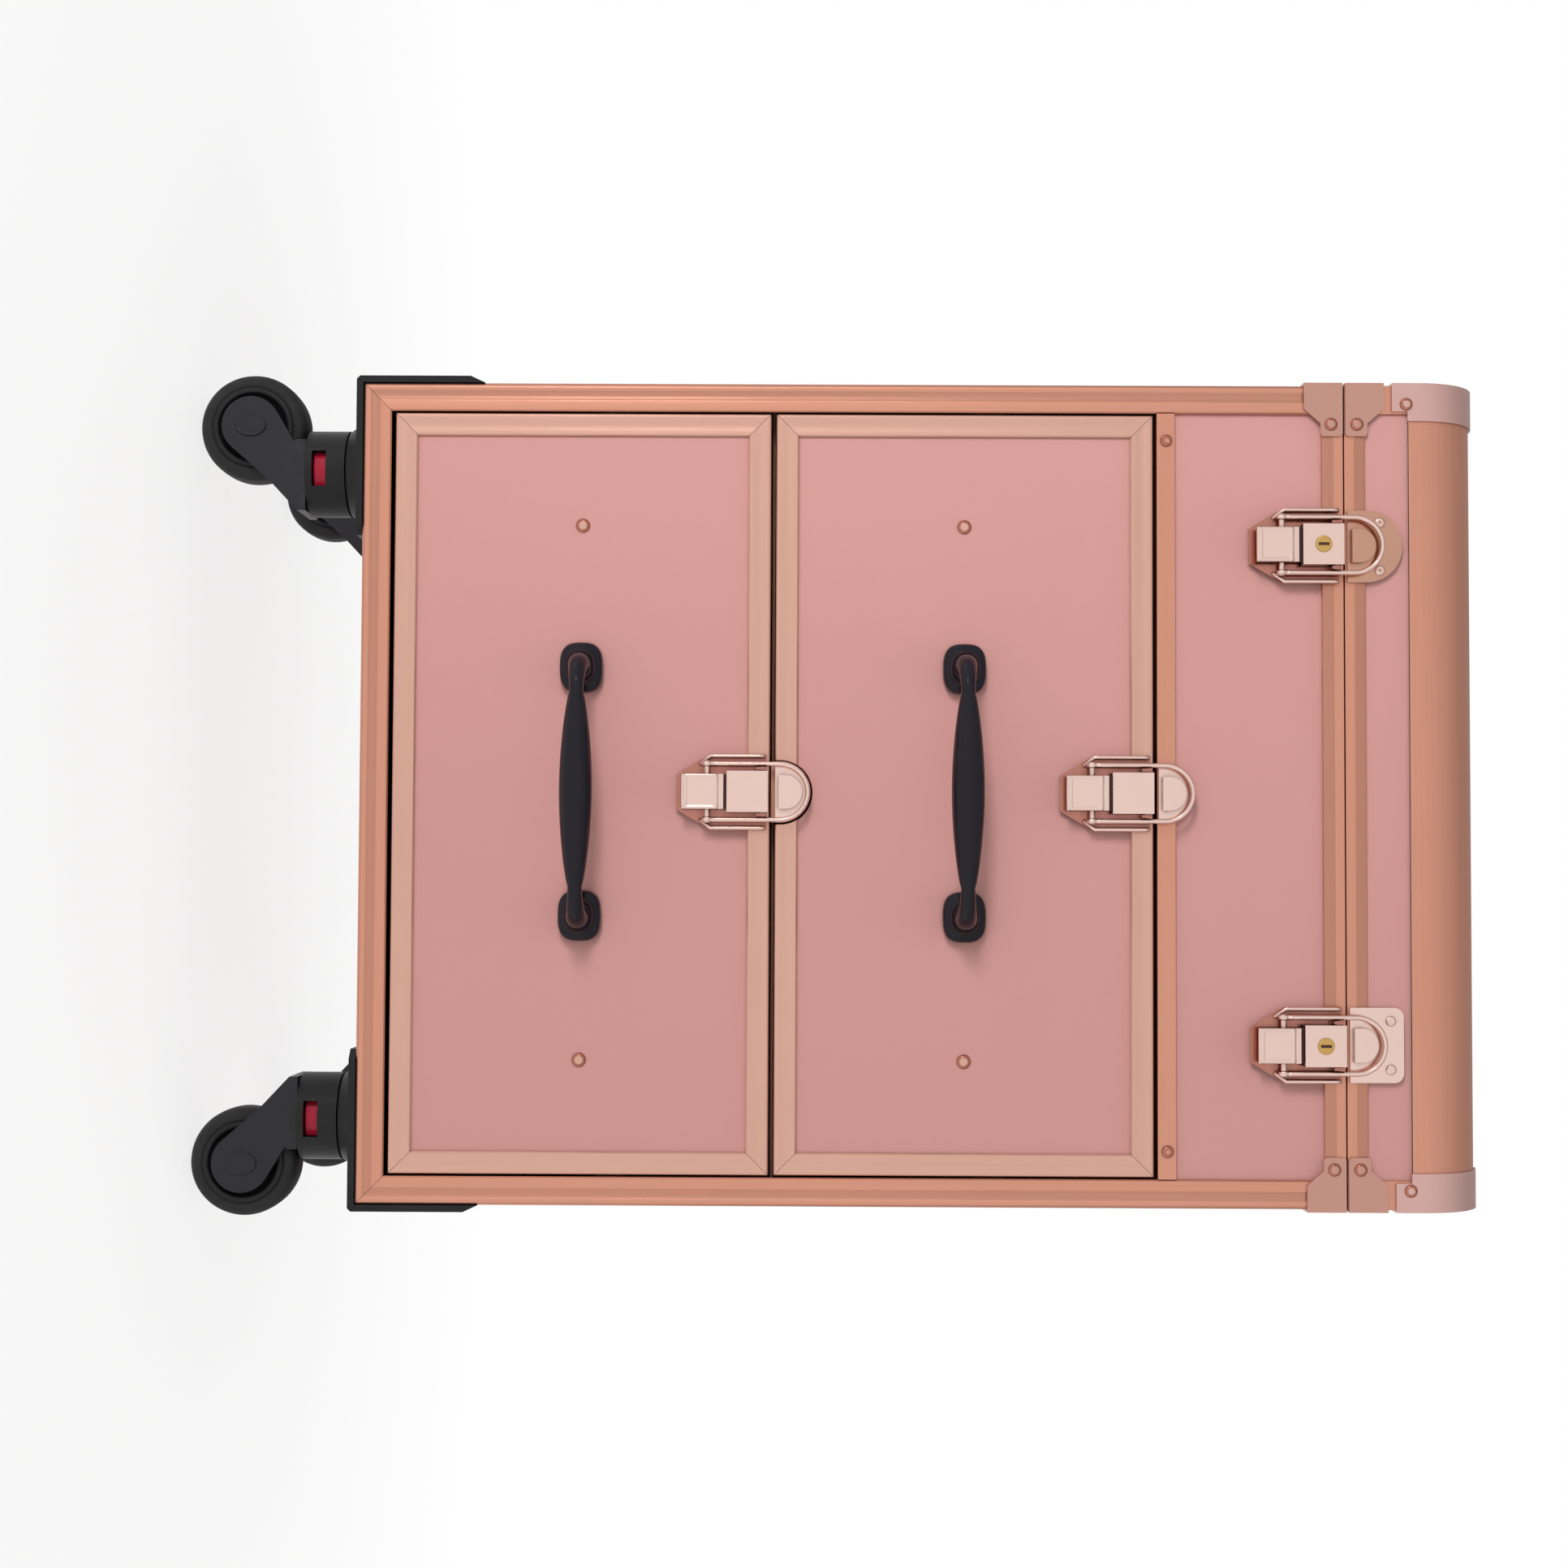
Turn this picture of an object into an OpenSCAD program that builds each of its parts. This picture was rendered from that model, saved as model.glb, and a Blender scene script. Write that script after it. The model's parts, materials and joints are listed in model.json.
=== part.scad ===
// Rolling makeup case: a carcass with two drawers, a hinged lid, a telescopic
// trolley handle at the back and four swivel casters that pull off their plugs.
// Millimetres, +Z up, the drawers open toward -Y. The origin is on the floor
// under the middle of the bounding box.

/* [Case] */
// Width across the aluminium profiles
case_w = 342.5; // [310:0.5:420]
// Depth across the aluminium profiles
case_d = 240; // [225:1:320]
// Thickness of the plywood panels
panel_t = 6; // [4:0.5:8]
// Visible height of the fixed front of the top compartment
compartment_front_h = 61.5; // [50:0.5:120]
// Thickness of the compartment floor
floor_t = 5; // [3:0.5:8]

/* [Profiles] */
// Wall of the aluminium profiles
profile_t = 1.2; // [1:0.1:1.8]
// Face width of the carcass front frame
frame_w = 12; // [10:0.5:16]
// Depth of the front leg of the carcass frame
face_t = 2; // [1.6:0.1:3]
// Length of the legs that fold back along the case
leg_d = 15; // [10:0.5:20]
// Height of the cross rail over the drawers
cross_w = 7.5; // [6:0.5:12]
// Height of each rim band beside the seam
rim_w = 9; // [7:0.5:14]
// Gap between carcass rim and lid rim
seam_gap = 0.4; // [0.3:0.1:1]
// Flat part of each rim band beside the seam
rim_flat = 4; // [3:0.5:6]
// How far the rest of a rim band slopes in
rim_slope = 0.5; // [0.2:0.1:0.7]

/* [Lid] */
// Visible height of the lid front panel
lid_front_h = 18; // [12:0.5:60]
// Height of the rounded top edging
edging_w = 31.5; // [28:0.5:40]
// Radius of the rounded front and back edges of the lid
edging_r = 27; // [12:0.5:28]
// Distance of each hinge from the case side
hinge_inset = 52; // [48:1:64]
// Width of each hinge
hinge_w = 40; // [30:1:44]

/* [Drawers] */
// Height of each drawer front
drawer_h = 157.4; // [120:0.2:200]
// Face width of the drawer frames
drawer_frame_w = 9.5; // [8:0.5:12]
// Front leg thickness of the drawer frames
drawer_face_t = 1.5; // [1.2:0.1:2]
// Thickness of the drawer front panels
drawer_panel_t = 5; // [4:0.5:7]
// Gap between a drawer front and the stiles
side_gap = 0.8; // [0.5:0.1:2]
// Gap under the lower drawer
base_gap = 1.7; // [1:0.1:4]
// Gap between the two drawers
drawer_gap = 2; // [1.9:0.1:4]
// Gap over the upper drawer
cross_gap = 1.5; // [1:0.1:3]
// Thickness of the drawer boards
board_t = 6; // [5:0.5:8]
// Thickness of the grooved drawer sides
grooved_t = 9; // [8:0.5:12]
// Height of the box floor above the lower edge of the front
box_rise = 21; // [20.5:0.5:30]

/* [Pulls] */
// Distance between the feet of a pull
pull_span = 103; // [80:1:128]
// Reach of a pull from the drawer panel
pull_reach = 32; // [28:0.5:40]
// Largest diameter of the grip
grip_d = 13.5; // [10:0.5:16]
// Diameter of the neck
neck_d = 6; // [5:0.5:10]

/* [Latches] */
// Overall width of a latch
latch_w = 31; // [30:0.5:36]
// Distance of the lid latches from the case side
lid_latch_inset = 67.75; // [55:0.25:90]
// Sheet thickness of the latch parts
latch_t = 1.2; // [1:0.1:1.4]
// Radius of the lever pin
lever_pin_r = 1.5; // [1.2:0.1:1.6]
// Radius of the loop pin
loop_pin_r = 1.25; // [1:0.05:1.4]
// Radius of the lock cores
lock_r = 3.4; // [2.8:0.1:3.6]

/* [Corner protectors] */
// Length of a protector along the base
guard_l = 64; // [50:1:80]
// Height of its side wall
guard_h = 51; // [40:1:70]
// Thickness of its walls
guard_t = 2.8; // [2:0.1:4]
// Distance of the plugs from the case sides
plug_inset = 33.5; // [30:0.5:45]
// Height of the dome over each plug
dome_h = 7.5; // [5:0.5:12]
// Radius of the dome
dome_r = 23.5; // [21:0.5:26]

/* [Casters] */
// Diameter of the wheels
wheel_d = 46; // [42:1:60]
// Width of the wheels
wheel_w = 20; // [16:1:24]
// Offset of the axle from the swivel axis
trail = 19; // [17:0.5:24]
// Outer radius of the sleeve
sleeve_r = 18.5; // [18:0.1:21]
// Height of the sleeve
sleeve_h = 17; // [17:0.5:22]
// Radius of the plug
plug_r = 15; // [14:0.1:15.3]
// Height of the release buttons and their windows
button_h = 5.4; // [4:0.1:6]
// Width of the release buttons and their windows
button_w = 14.5; // [10:0.5:16]

/* [Trolley] */
// Distance of the tubes from the middle
tube_x = 62; // [50:1:70]
// Width of the outer tubes
tube_w = 20; // [18:0.5:24]
// Depth of the outer tubes
tube_d = 12; // [11.5:0.5:15]
// Wall of the tubes
tube_t = 1.2; // [1:0.1:1.4]
// Depth of the grip
trolley_grip_d = 17; // [16:0.5:20]
// Press travel of the trolley button
trolley_press = 3; // [2:0.5:4]

/* [Fits] */
// Clearance between moving parts
run_gap = 0.3; // [0.25:0.05:0.4]
// Radial clearance of pins in their bores
pin_gap = 0.05; // [0.03:0.01:0.1]
// Gap between boards and rails that meet
joint_gap = 0.1; // [0.08:0.01:0.2]
// Clearance of the plugs in their sleeves
plug_gap = 0.2; // [0.1:0.05:0.3]

/* [Hidden] */
$fn = 48;
pink = [0.85, 0.65, 0.63];
rose = [0.80, 0.54, 0.44];
pale = [0.90, 0.80, 0.76];
black = [0.10, 0.10, 0.11];
steel = [0.70, 0.70, 0.72];
wood = [0.60, 0.45, 0.32];
red = [0.75, 0.10, 0.22];
brass = [0.72, 0.55, 0.25];

// Heights above the floor
wheel_r = wheel_d / 2;
fork_top = wheel_d + 0.7;
sleeve_z = fork_top + run_gap;
sleeve_top = sleeve_z + sleeve_h;
dome_z = sleeve_top + run_gap;
guard_z = dome_z + dome_h;
base_z = guard_z + guard_t;
base_top = base_z + profile_t + panel_t;
lower_z = base_z + frame_w + base_gap;
upper_z = lower_z + drawer_h + drawer_gap;
cross_z = upper_z + drawer_h + cross_gap;
rim_z = cross_z + cross_w + compartment_front_h;
seam_z = rim_z + rim_w;
wall_top = seam_z - seam_gap / 2 - profile_t;
lid_z = seam_z + seam_gap / 2;
lid_wall_z = seam_z + rim_w;
edging_z = lid_wall_z + lid_front_h;
top_z = edging_z + edging_w;
lower_seam_z = upper_z - drawer_gap / 2;
upper_seam_z = cross_z - cross_gap / 2;

// Depths: the case is shifted so that the bounding box is centred on the origin
tube_stand = 2;
front_reach = pull_reach - drawer_face_t;
back_reach = 1.5 + trolley_grip_d;
case_y = (front_reach - back_reach) / 2;
front_y = case_y - case_d / 2;
back_y = case_y + case_d / 2;
back_in = back_y - profile_t - panel_t;
half_w = case_w / 2;
side_in = half_w - profile_t - panel_t;
side_out = half_w - profile_t;

// Drawers
drawer_w = case_w - 2 * frame_w - 2 * side_gap;
box_inset = 7;
box_x = drawer_w / 2 - box_inset;
box_front_y = front_y + drawer_face_t + drawer_panel_t;
box_back_y = back_in - 14;
box_h = drawer_h - box_rise - 10;
rail_h = 12;
groove_d = 4.5;
rail_z = box_rise + box_h * 0.55;
sheet_t = 1.2;
divider_y = front_y + 16;
pull_z = drawer_h / 2;
drawer_leg = 9;
panel_rivet_inset = 47.2;
foot_l = 21;
foot_w = 18;
foot_r = 7;
foot_h = 4;
pull_bend = 12;

// Latches: plan coordinates from the seam, x across, y up, z outward
latch_x = latch_w / 2;
lid_latch_x = half_w - lid_latch_inset;
box_side = 17;
box_y = -10.3;
box_z0 = 3;
box_z1 = 8.6;
ear_in = box_side / 2 + run_gap + 0.1;
ear_out = ear_in + latch_t;
loop_in = ear_out + run_gap + 0.1;
loop_bar = 2.1;
loop_out = loop_in + loop_bar;
loop_c = 3.2;
loop_z = 4.2;
loop_t = 2.4;
pin_y = -4;
pin_z = 4.8;
loop_pin_y = -27;
tab_x = 7.2;
tab_end = -36;
tab_z = 4.6;
tab_t = 2.6;
hook_x = 7;
hook_y = 2.6;
hook_z = loop_z - run_gap;
strike_y = 1.2;
latch_base_y = -2.5;
latch_base_end = -40;
latch_taper = -26;
shoulder_x = 10;
shoulder_y = -35.5;
stud_x = 11;
stud_r = 1.6;
keeper_gap = 0.8;

// Trolley
tube_y = back_y + tube_stand + tube_d / 2;
tube_z = base_z + 24;
grip_top = seam_z - 18;
grip_bar = 18;
grip_leg = 24;
grip_z = grip_top - grip_bar - grip_leg;
tube_top = grip_z - 4;
mid_w = tube_w - 2 * tube_t - 2 * run_gap;
mid_d = tube_d - 2 * tube_t - 2 * run_gap;
in_w = mid_w - 2 * tube_t - 2 * run_gap;
in_d = mid_d - 2 * tube_t - 2 * run_gap;

// Hinges
hinge_x = half_w - hinge_inset;
hinge_leaf_t = 1.4;
hinge_leaf_h = 24;
hinge_r = 3;
hinge_pin_r = 1.5;
hinge_y = back_y + 3.4;

// Casters, built for the front left corner and mirrored to the others
plug_x = half_w - plug_inset;
plug_y = case_d / 2 - plug_inset;
plug_h = sleeve_h - 1.6;
king_r = 3.4;
axle_r = 2.5;
window_z = sleeve_z + 6;
fork_x = wheel_w / 2 + 0.8;
cheek_t = 3;
cheek_r = 12.4;
arm_r = 9;
fork_back = 17.5;
button_d = 8;
through = 4 * wheel_d;

CORNERS = [[0, 0], [1, 0], [0, 1], [1, 1]];

echo(seam_z = seam_z, top_z = top_z, front_y = front_y, back_y = back_y, case_y = case_y, base_z = base_z);
echo(lower_z = lower_z, upper_z = upper_z, lower_seam_z = lower_seam_z, upper_seam_z = upper_seam_z);
echo(hinge_y = hinge_y, plug_x = plug_x, plug_y = plug_y, window_z = window_z, grip_z = grip_z, grip_top = grip_top);
echo(box_x = box_x, box_front_y = box_front_y, box_back_y = box_back_y, box_h = box_h, rim_z = rim_z, cross_z = cross_z);
echo(side_in = side_in, back_in = back_in, tube_y = tube_y, drawer_w = drawer_w, wall_top = wall_top);

// Shared helpers

// A box between two opposite corners
module between(a, b) {
    translate(a) cube(b - a);
}

// The children and their mirror image across the middle of the case
module both_sides() {
    children();
    mirror([1, 0, 0]) children();
}

// The children, drawn for the front left corner, moved to one corner
module at_corner(corner) {
    translate([0, case_y, 0])
        mirror([corner[0], 0, 0])
            mirror([0, corner[1], 0])
                children();
}

module at_all_corners() {
    for (corner = CORNERS) at_corner(corner) children();
}

// Plan coordinates of the front: x right, y up, z outward
module on_front(x, z) {
    translate([x, front_y, z]) rotate([90, 0, 0]) children();
}

// L section of a front frame: across, then outward, with a flute in its face
function frame_section(width, face, leg, r, flute, depth) = concat(
    [[0, -leg]],
    [for (i = [0 : 4]) [r - r * cos(90 * i / 4), -r + r * sin(90 * i / 4)]],
    [for (i = [0 : 8]) [flute[0] + (flute[1] - flute[0]) * i / 8, -depth * sin(180 * i / 8)]],
    [[width - 0.6, 0], [width, -0.6], [width, -face], [profile_t, -face], [profile_t, -leg]]);

// A rail along x, its section in y and z, with 45 degree ends where asked
module mitred_rail(section, length, width, leg, cuts) {
    intersection() {
        rotate([90, 0, 90]) linear_extrude(length) polygon(section);
        translate([0, 0, -leg - 1])
            linear_extrude(leg + 2)
                polygon([[joint_gap * cuts[0], 0], [length - joint_gap * cuts[1], 0],
                         [length - (joint_gap + width) * cuts[1], width],
                         [(joint_gap + width) * cuts[0], width]]);
    }
}

// Four mitred rails round a w by h rectangle centred on the plan origin
module mitred_frame(w, h, section, width, leg) {
    for (i = [0 : 3]) {
        along = i % 2 == 0 ? w : h;
        across = i % 2 == 0 ? h : w;
        rotate([0, 0, 90 * i])
            translate([-along / 2, -across / 2, 0])
                mitred_rail(section, along, width, leg, [1, 1]);
    }
}

// An L section with equal legs
function angle_section(leg) = [[0, 0], [leg, 0], [leg, profile_t], [profile_t, profile_t],
                               [profile_t, leg], [0, leg]];

// A rivet head on a plan surface
module rivet(r = 2.8, h = 1.2) {
    cylinder(r1 = r, r2 = r * 0.55, h = h);
}

// A flat sided tube section with round ends
module stadium(w, d) {
    square([w - d, d], center = true);
    for (s = [-1, 1]) translate([s * (w - d) / 2, 0]) circle(d = d);
}

// A rectangle with round corners, centred on the origin
module rounded_pad(w, h, r) {
    square([w, h - 2 * r], center = true);
    square([w - 2 * r, h], center = true);
    for (i = [-1, 1]) for (j = [-1, 1]) translate([i * (w / 2 - r), j * (h / 2 - r)]) circle(r = r);
}

// A plate outline with straight sides up to a half round top
module round_topped(r, y0, centre) {
    translate([-r, y0]) square([2 * r, centre - y0]);
    intersection() {
        translate([0, centre]) circle(r = r);
        translate([-r, centre - 0.01]) square([2 * r, r + 1]);
    }
}

// Carcass

module side_panels() color(pink) {
    both_sides()
        between([side_in, front_y + face_t, base_top], [side_out, back_in, wall_top]);
}

module back_panel() color(pink) {
    between([-side_out, back_in, base_top], [side_out, back_y - profile_t, wall_top]);
}

module base_panel() color(pink) {
    between([-side_out, front_y + face_t, base_z + profile_t], [side_out, back_y - profile_t, base_top]);
}

module compartment_front_panel() color(pink) {
    between([-side_in, front_y + face_t, cross_z + profile_t],
            [side_in, front_y + face_t + panel_t, wall_top]);
}

module compartment_floor() color(wood) {
    between([-side_in, front_y + face_t + panel_t, cross_z + profile_t],
            [side_in, back_in, cross_z + profile_t + floor_t]);
}

// A steel sheet with folded sides and a tongue that ends in the keeper tab
module drawer_divider() color(steel) {
    low = lower_seam_z - sheet_t / 2;
    between([-side_in, divider_y, low], [side_in, back_in, low + sheet_t]);
    both_sides()
        between([side_in - sheet_t, divider_y, low - 9], [side_in, back_in, low + sheet_t]);
    tongue_x = loop_out - 0.6;
    between([-tongue_x, front_y, low], [tongue_x, divider_y + 1, low + sheet_t]);
    on_front(0, lower_seam_z)
        translate([0, 0, -sheet_t]) linear_extrude(sheet_t) round_topped(loop_out, -sheet_t / 2, loop_c);
}

// Base rail, two stiles and the cross rail over the drawers
module front_frame() color(rose) {
    section = frame_section(frame_w, face_t, leg_d, 2, [2.6, frame_w - 4.2], 0.7);
    on_front(-half_w, base_z) mitred_rail(section, case_w, frame_w, leg_d, [1, 1]);
    both_sides()
        on_front(half_w, base_z)
            rotate([0, 0, 90])
                mitred_rail(section, rim_z - joint_gap - base_z, frame_w, leg_d, [1, 0]);
    inner = half_w - frame_w - joint_gap;
    between([-inner, front_y, cross_z], [inner, front_y + face_t, cross_z + cross_w]);
    between([-inner, front_y, cross_z], [inner, front_y + face_t + panel_t, cross_z + profile_t]);
    both_sides() on_front(half_w - 23.5, cross_z + cross_w / 2 + 0.2) rivet(2.6, 1.1);
}

// Rear and base edge angles and the rim round the opening
module edge_profiles() color(rose) {
    both_sides() {
        translate([half_w, back_y, base_z])
            rotate([0, 0, 180])
                linear_extrude(rim_z - joint_gap - base_z) polygon(angle_section(frame_w));
        translate([half_w, front_y + leg_d + joint_gap, base_z])
            rotate([90, 0, 180])
                linear_extrude(case_d - leg_d - frame_w - 2 * joint_gap) polygon(angle_section(frame_w));
    }
    translate([-half_w + frame_w + joint_gap, back_y, base_z])
        rotate([90, 0, 90])
            linear_extrude(case_w - 2 * frame_w - 2 * joint_gap)
                mirror([1, 0]) polygon(angle_section(frame_w));
    translate([0, 0, seam_z - seam_gap / 2]) mirror([0, 0, 1]) rim(face_t);
}

// L section of a rim: flange against the seam, band on the outside that slopes in away from the seam
function rim_section(wall, band) = [[0, 0], [panel_t + wall, 0], [panel_t + wall, profile_t],
                                    [wall, profile_t], [wall, band], [rim_slope, band], [0, rim_flat]];

// A rim of four mitred angles, with its own band thickness at the front
module rim(front_t) {
    band = rim_w - seam_gap / 2;
    width = panel_t + front_t;
    for (i = [0 : 3]) {
        along = i % 2 == 0 ? case_w : case_d;
        across = i % 2 == 0 ? case_d : case_w;
        wall = i == 0 ? front_t : profile_t;
        translate([0, case_y, 0])
            rotate([0, 0, 90 * i])
                translate([-along / 2, -across / 2, 0])
                    intersection() {
                        rotate([90, 0, 90]) linear_extrude(along) polygon(rim_section(wall, band));
                        translate([0, 0, -1])
                            linear_extrude(band + 2)
                                polygon([[joint_gap, 0], [along - joint_gap, 0],
                                         [along - joint_gap - width, width], [joint_gap + width, width]]);
                    }
    }
}

// Bracket outline from the corner edge inward and away from the seam
BRACKET = [[0, 0.5], [20.5, 0.5], [21.5, 1.5], [21.5, 8.8], [20.5, 9.8], [16, 9.8], [10, 16.7], [0, 16.7]];
bracket_t = 1;

// Bent bracket at the front left corner of the lid, rising from the seam
module seam_bracket() {
    translate([-half_w, -case_d / 2, seam_z]) {
        rotate([90, 0, 0]) linear_extrude(bracket_t) polygon(BRACKET);
        translate([-bracket_t, 0, 0])
            rotate([90, 0, 90]) linear_extrude(bracket_t) polygon(BRACKET);
        between([-bracket_t, -bracket_t, 0.5], [0, 0, 16.7]);
        translate([16.5, -bracket_t, 5.4]) rotate([90, 0, 0]) rivet(2.6, 1.1);
        translate([-bracket_t, 16.5, 5.4]) rotate([0, -90, 0]) rivet(2.6, 1.1);
    }
}

module carcass_corner_brackets() color(rose) {
    translate([0, 0, seam_z]) mirror([0, 0, 1]) translate([0, 0, -seam_z]) at_all_corners() seam_bracket();
}

// Side wall and bottom plate of one protector, with its dome and plug
module guard() {
    corner_x = -half_w;
    corner_y = -case_d / 2;
    intersection() {
        translate([corner_x, corner_y + guard_l, base_z])
            rotate([90, 0, 0])
                linear_extrude(guard_l)
                    polygon([[-guard_t + 1.4, -guard_t], [0, -guard_t], [0, guard_h],
                             [-guard_t, guard_h - 6], [-guard_t, 1.4 - guard_t]]);
        translate([corner_x - guard_t - 1, corner_y, base_z])
            rotate([90, 0, 90])
                linear_extrude(guard_t + 2)
                    polygon([[0, -guard_t - 1], [guard_l, -guard_t - 1], [guard_l, guard_h * 0.4],
                             [guard_l * 0.62, guard_h + 1], [0, guard_h + 1]]);
    }
    translate([corner_x, corner_y, guard_z])
        linear_extrude(guard_t)
            polygon([[-0.5, 0], [guard_l - 4, 0], [guard_l, 4], [guard_l, guard_l * 0.55],
                     [guard_l * 0.55, guard_l], [-0.5, guard_l]]);
    translate([-plug_x, -plug_y, 0]) {
        translate([0, 0, guard_z - 2]) cylinder(r = dome_r, h = 2.5);
        translate([0, 0, dome_z]) cylinder(r1 = plug_r + 3, r2 = dome_r - 1.5, h = dome_h - 2);
        difference() {
            translate([0, 0, sleeve_top - plug_h]) cylinder(r = plug_r, h = plug_h + 1);
            translate([-button_w / 2 - run_gap, -plug_r - 1, window_z - button_h / 2 - run_gap])
                cube([button_w + 2 * run_gap, button_d + 4.5, button_h + 2 * run_gap]);
        }
    }
}

module corner_protectors() color(black) {
    at_all_corners() guard();
}

module drawer_rails() color(wood) {
    both_sides()
        for (z = [lower_z, upper_z])
            between([box_x - groove_d + run_gap, front_y + 18, z + rail_z - rail_h / 2],
                    [side_in, back_in - 1, z + rail_z + rail_h / 2]);
}

// A leaf of one hinge on the lid: its plate above the axis and the knuckles given
module hinge_leaf(spans) {
    translate([0, back_y, seam_z]) {
        between([-hinge_w / 2, 0, hinge_r + 0.8], [hinge_w / 2, hinge_leaf_t, hinge_leaf_h]);
        difference() {
            union() {
                for (s = spans) {
                    between([s[0], 0, 0.6], [s[1], hinge_leaf_t, hinge_r + 1.2]);
                    translate([s[0], hinge_y - back_y, 0])
                        rotate([0, 90, 0]) cylinder(r = hinge_r, h = s[1] - s[0]);
                }
            }
            translate([-hinge_w, hinge_y - back_y, 0])
                rotate([0, 90, 0]) cylinder(r = hinge_pin_r + pin_gap, h = 2 * hinge_w);
        }
    }
}

module hinge_carcass_leaves() color(steel) {
    third = hinge_w / 6;
    for (s = [-1, 1]) translate([s * hinge_x, 0, 0]) {
        translate([0, 0, seam_z]) mirror([0, 0, 1]) translate([0, 0, -seam_z])
            hinge_leaf([[-hinge_w / 2, -third - run_gap], [third + run_gap, hinge_w / 2]]);
        translate([-hinge_w / 2, hinge_y, seam_z])
            rotate([0, 90, 0]) cylinder(r = hinge_pin_r, h = hinge_w);
    }
}

module hinge_lid_leaves() color(steel) {
    third = hinge_w / 6;
    for (s = [-1, 1]) translate([s * hinge_x, 0, 0]) hinge_leaf([[-third, third]]);
}

// Lid

// Outline of the lid across its depth, with round front and back top edges
module lid_outline(grow, z0) {
    d = case_d / 2 + grow;
    top = top_z + grow;
    r = edging_r + grow;
    square_part = [[-d, z0], [d, z0], [d, top - r], [d - r, top - r], [d - r, top], [-d + r, top],
                   [-d + r, top - r], [-d, top - r]];
    polygon(square_part);
    for (s = [-1, 1]) translate([s * (d - r), top - r]) circle(r = r, $fn = 96);
}

// The outer form of the lid, grown or shrunk by one amount all round
module lid_form(grow, z0) {
    translate([-half_w - grow, case_y, 0])
        rotate([90, 0, 90]) linear_extrude(case_w + 2 * grow) lid_outline(grow, z0);
}

module lid_panels() color(pink) {
    floor_z = lid_z + profile_t;
    under = edging_z + joint_gap;
    y0 = front_y + profile_t;
    y1 = back_y - profile_t;
    between([-side_out, y0, floor_z], [side_out, y0 + panel_t, top_z - edging_r]);
    between([-side_out, y1 - panel_t, floor_z], [side_out, y1, top_z - edging_r]);
    both_sides() intersection() {
        between([side_in, y0 + panel_t + joint_gap, floor_z],
                [side_out, y1 - panel_t - joint_gap, top_z - profile_t - panel_t - joint_gap]);
        translate([side_in, case_y, 0])
            rotate([90, 0, 90]) linear_extrude(panel_t) lid_outline(-profile_t - joint_gap, floor_z);
    }
    inset = edging_w;
    between([-side_out, front_y + edging_r, top_z - profile_t - panel_t],
            [side_out, back_y - edging_r, top_z - profile_t]);
    between([-half_w + frame_w, front_y + inset, top_z - profile_t - 0.5],
            [half_w - frame_w, back_y - inset, top_z]);
}

// Rim, corner posts, rounded front and back edging and the side angles of the lid
module lid_profiles() color(rose) {
    translate([0, 0, lid_z]) rim(profile_t);
    at_all_corners()
        translate([-half_w, -case_d / 2, lid_wall_z + joint_gap])
            linear_extrude(edging_z - lid_wall_z - 2 * joint_gap) polygon(angle_section(frame_w));
    for (m = [0, 1]) translate([0, case_y, 0]) mirror([0, m, 0]) translate([0, -case_y, 0])
        difference() {
            intersection() {
                lid_form(0, edging_z);
                between([-half_w - 1, front_y - 1, edging_z], [half_w + 1, front_y + edging_w, top_z + 1]);
            }
            lid_shell_core();
        }
    both_sides()
        translate([half_w, case_y - case_d / 2 + edging_w + joint_gap, top_z])
            rotate([-90, 0, 0])
                linear_extrude(case_d - 2 * edging_w - 2 * joint_gap)
                    mirror([1, 0]) polygon([[0, 0], [frame_w, 0], [frame_w, profile_t], [profile_t, profile_t],
                                            [profile_t, edging_w], [0, edging_w]]);
}

// What the edging wraps round
module lid_shell_core() {
    translate([-side_out, case_y, 0])
        rotate([90, 0, 90]) linear_extrude(2 * side_out) lid_outline(-profile_t, edging_z - 5);
}

// Seam brackets and the caps over the four top corners, with their rivets
module lid_corners() color(rose) {
    at_all_corners() seam_bracket();
    at_all_corners() translate([0, -case_y, 0]) {
        difference() {
            intersection() {
                lid_form(bracket_t, edging_z - 8);
                union() {
                    between([-half_w - 2, front_y - 2, edging_z - 0.5],
                            [-half_w + 15, front_y + edging_w - 0.5, top_z + 2]);
                    between([-half_w - 2, front_y - 2, edging_z - 7], [-half_w + 11, front_y + 11, edging_z]);
                }
            }
            lid_form(0, edging_z - 9);
        }
        translate([-half_w + 8, front_y - bracket_t, edging_z - 1]) rotate([90, 0, 0]) rivet(2.4, 1.1);
        translate([-half_w - bracket_t, front_y + 8, edging_z - 1]) rotate([0, -90, 0]) rivet(2.4, 1.1);
    }
}

// Drawers: plan coordinates from the lower edge of the front

module keeper_notch() {
    translate([0, -drawer_gap / 2, -drawer_panel_t - 20])
        linear_extrude(drawer_panel_t + 40) round_topped(loop_out + keeper_gap, -1, loop_c);
}

module drawer_frame(z, notched) {
    section = frame_section(drawer_frame_w, drawer_face_t, drawer_leg, 1.2, [2, drawer_frame_w - 1.8], 0.25);
    on_front(0, z) {
        difference() {
            translate([0, drawer_h / 2, 0]) mitred_frame(drawer_w, drawer_h, section, drawer_frame_w, drawer_leg);
            if (notched) keeper_notch();
        }
        for (s = [-1, 1]) translate([s * (drawer_w / 2 - panel_rivet_inset), pull_z, -drawer_face_t]) rivet();
    }
}

module drawer_panel(z, notched) {
    x = drawer_w / 2 - profile_t;
    on_front(0, z)
        difference() {
            between([-x, profile_t, -drawer_face_t - drawer_panel_t], [x, drawer_h - profile_t, -drawer_face_t]);
            if (notched) keeper_notch();
        }
}

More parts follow.
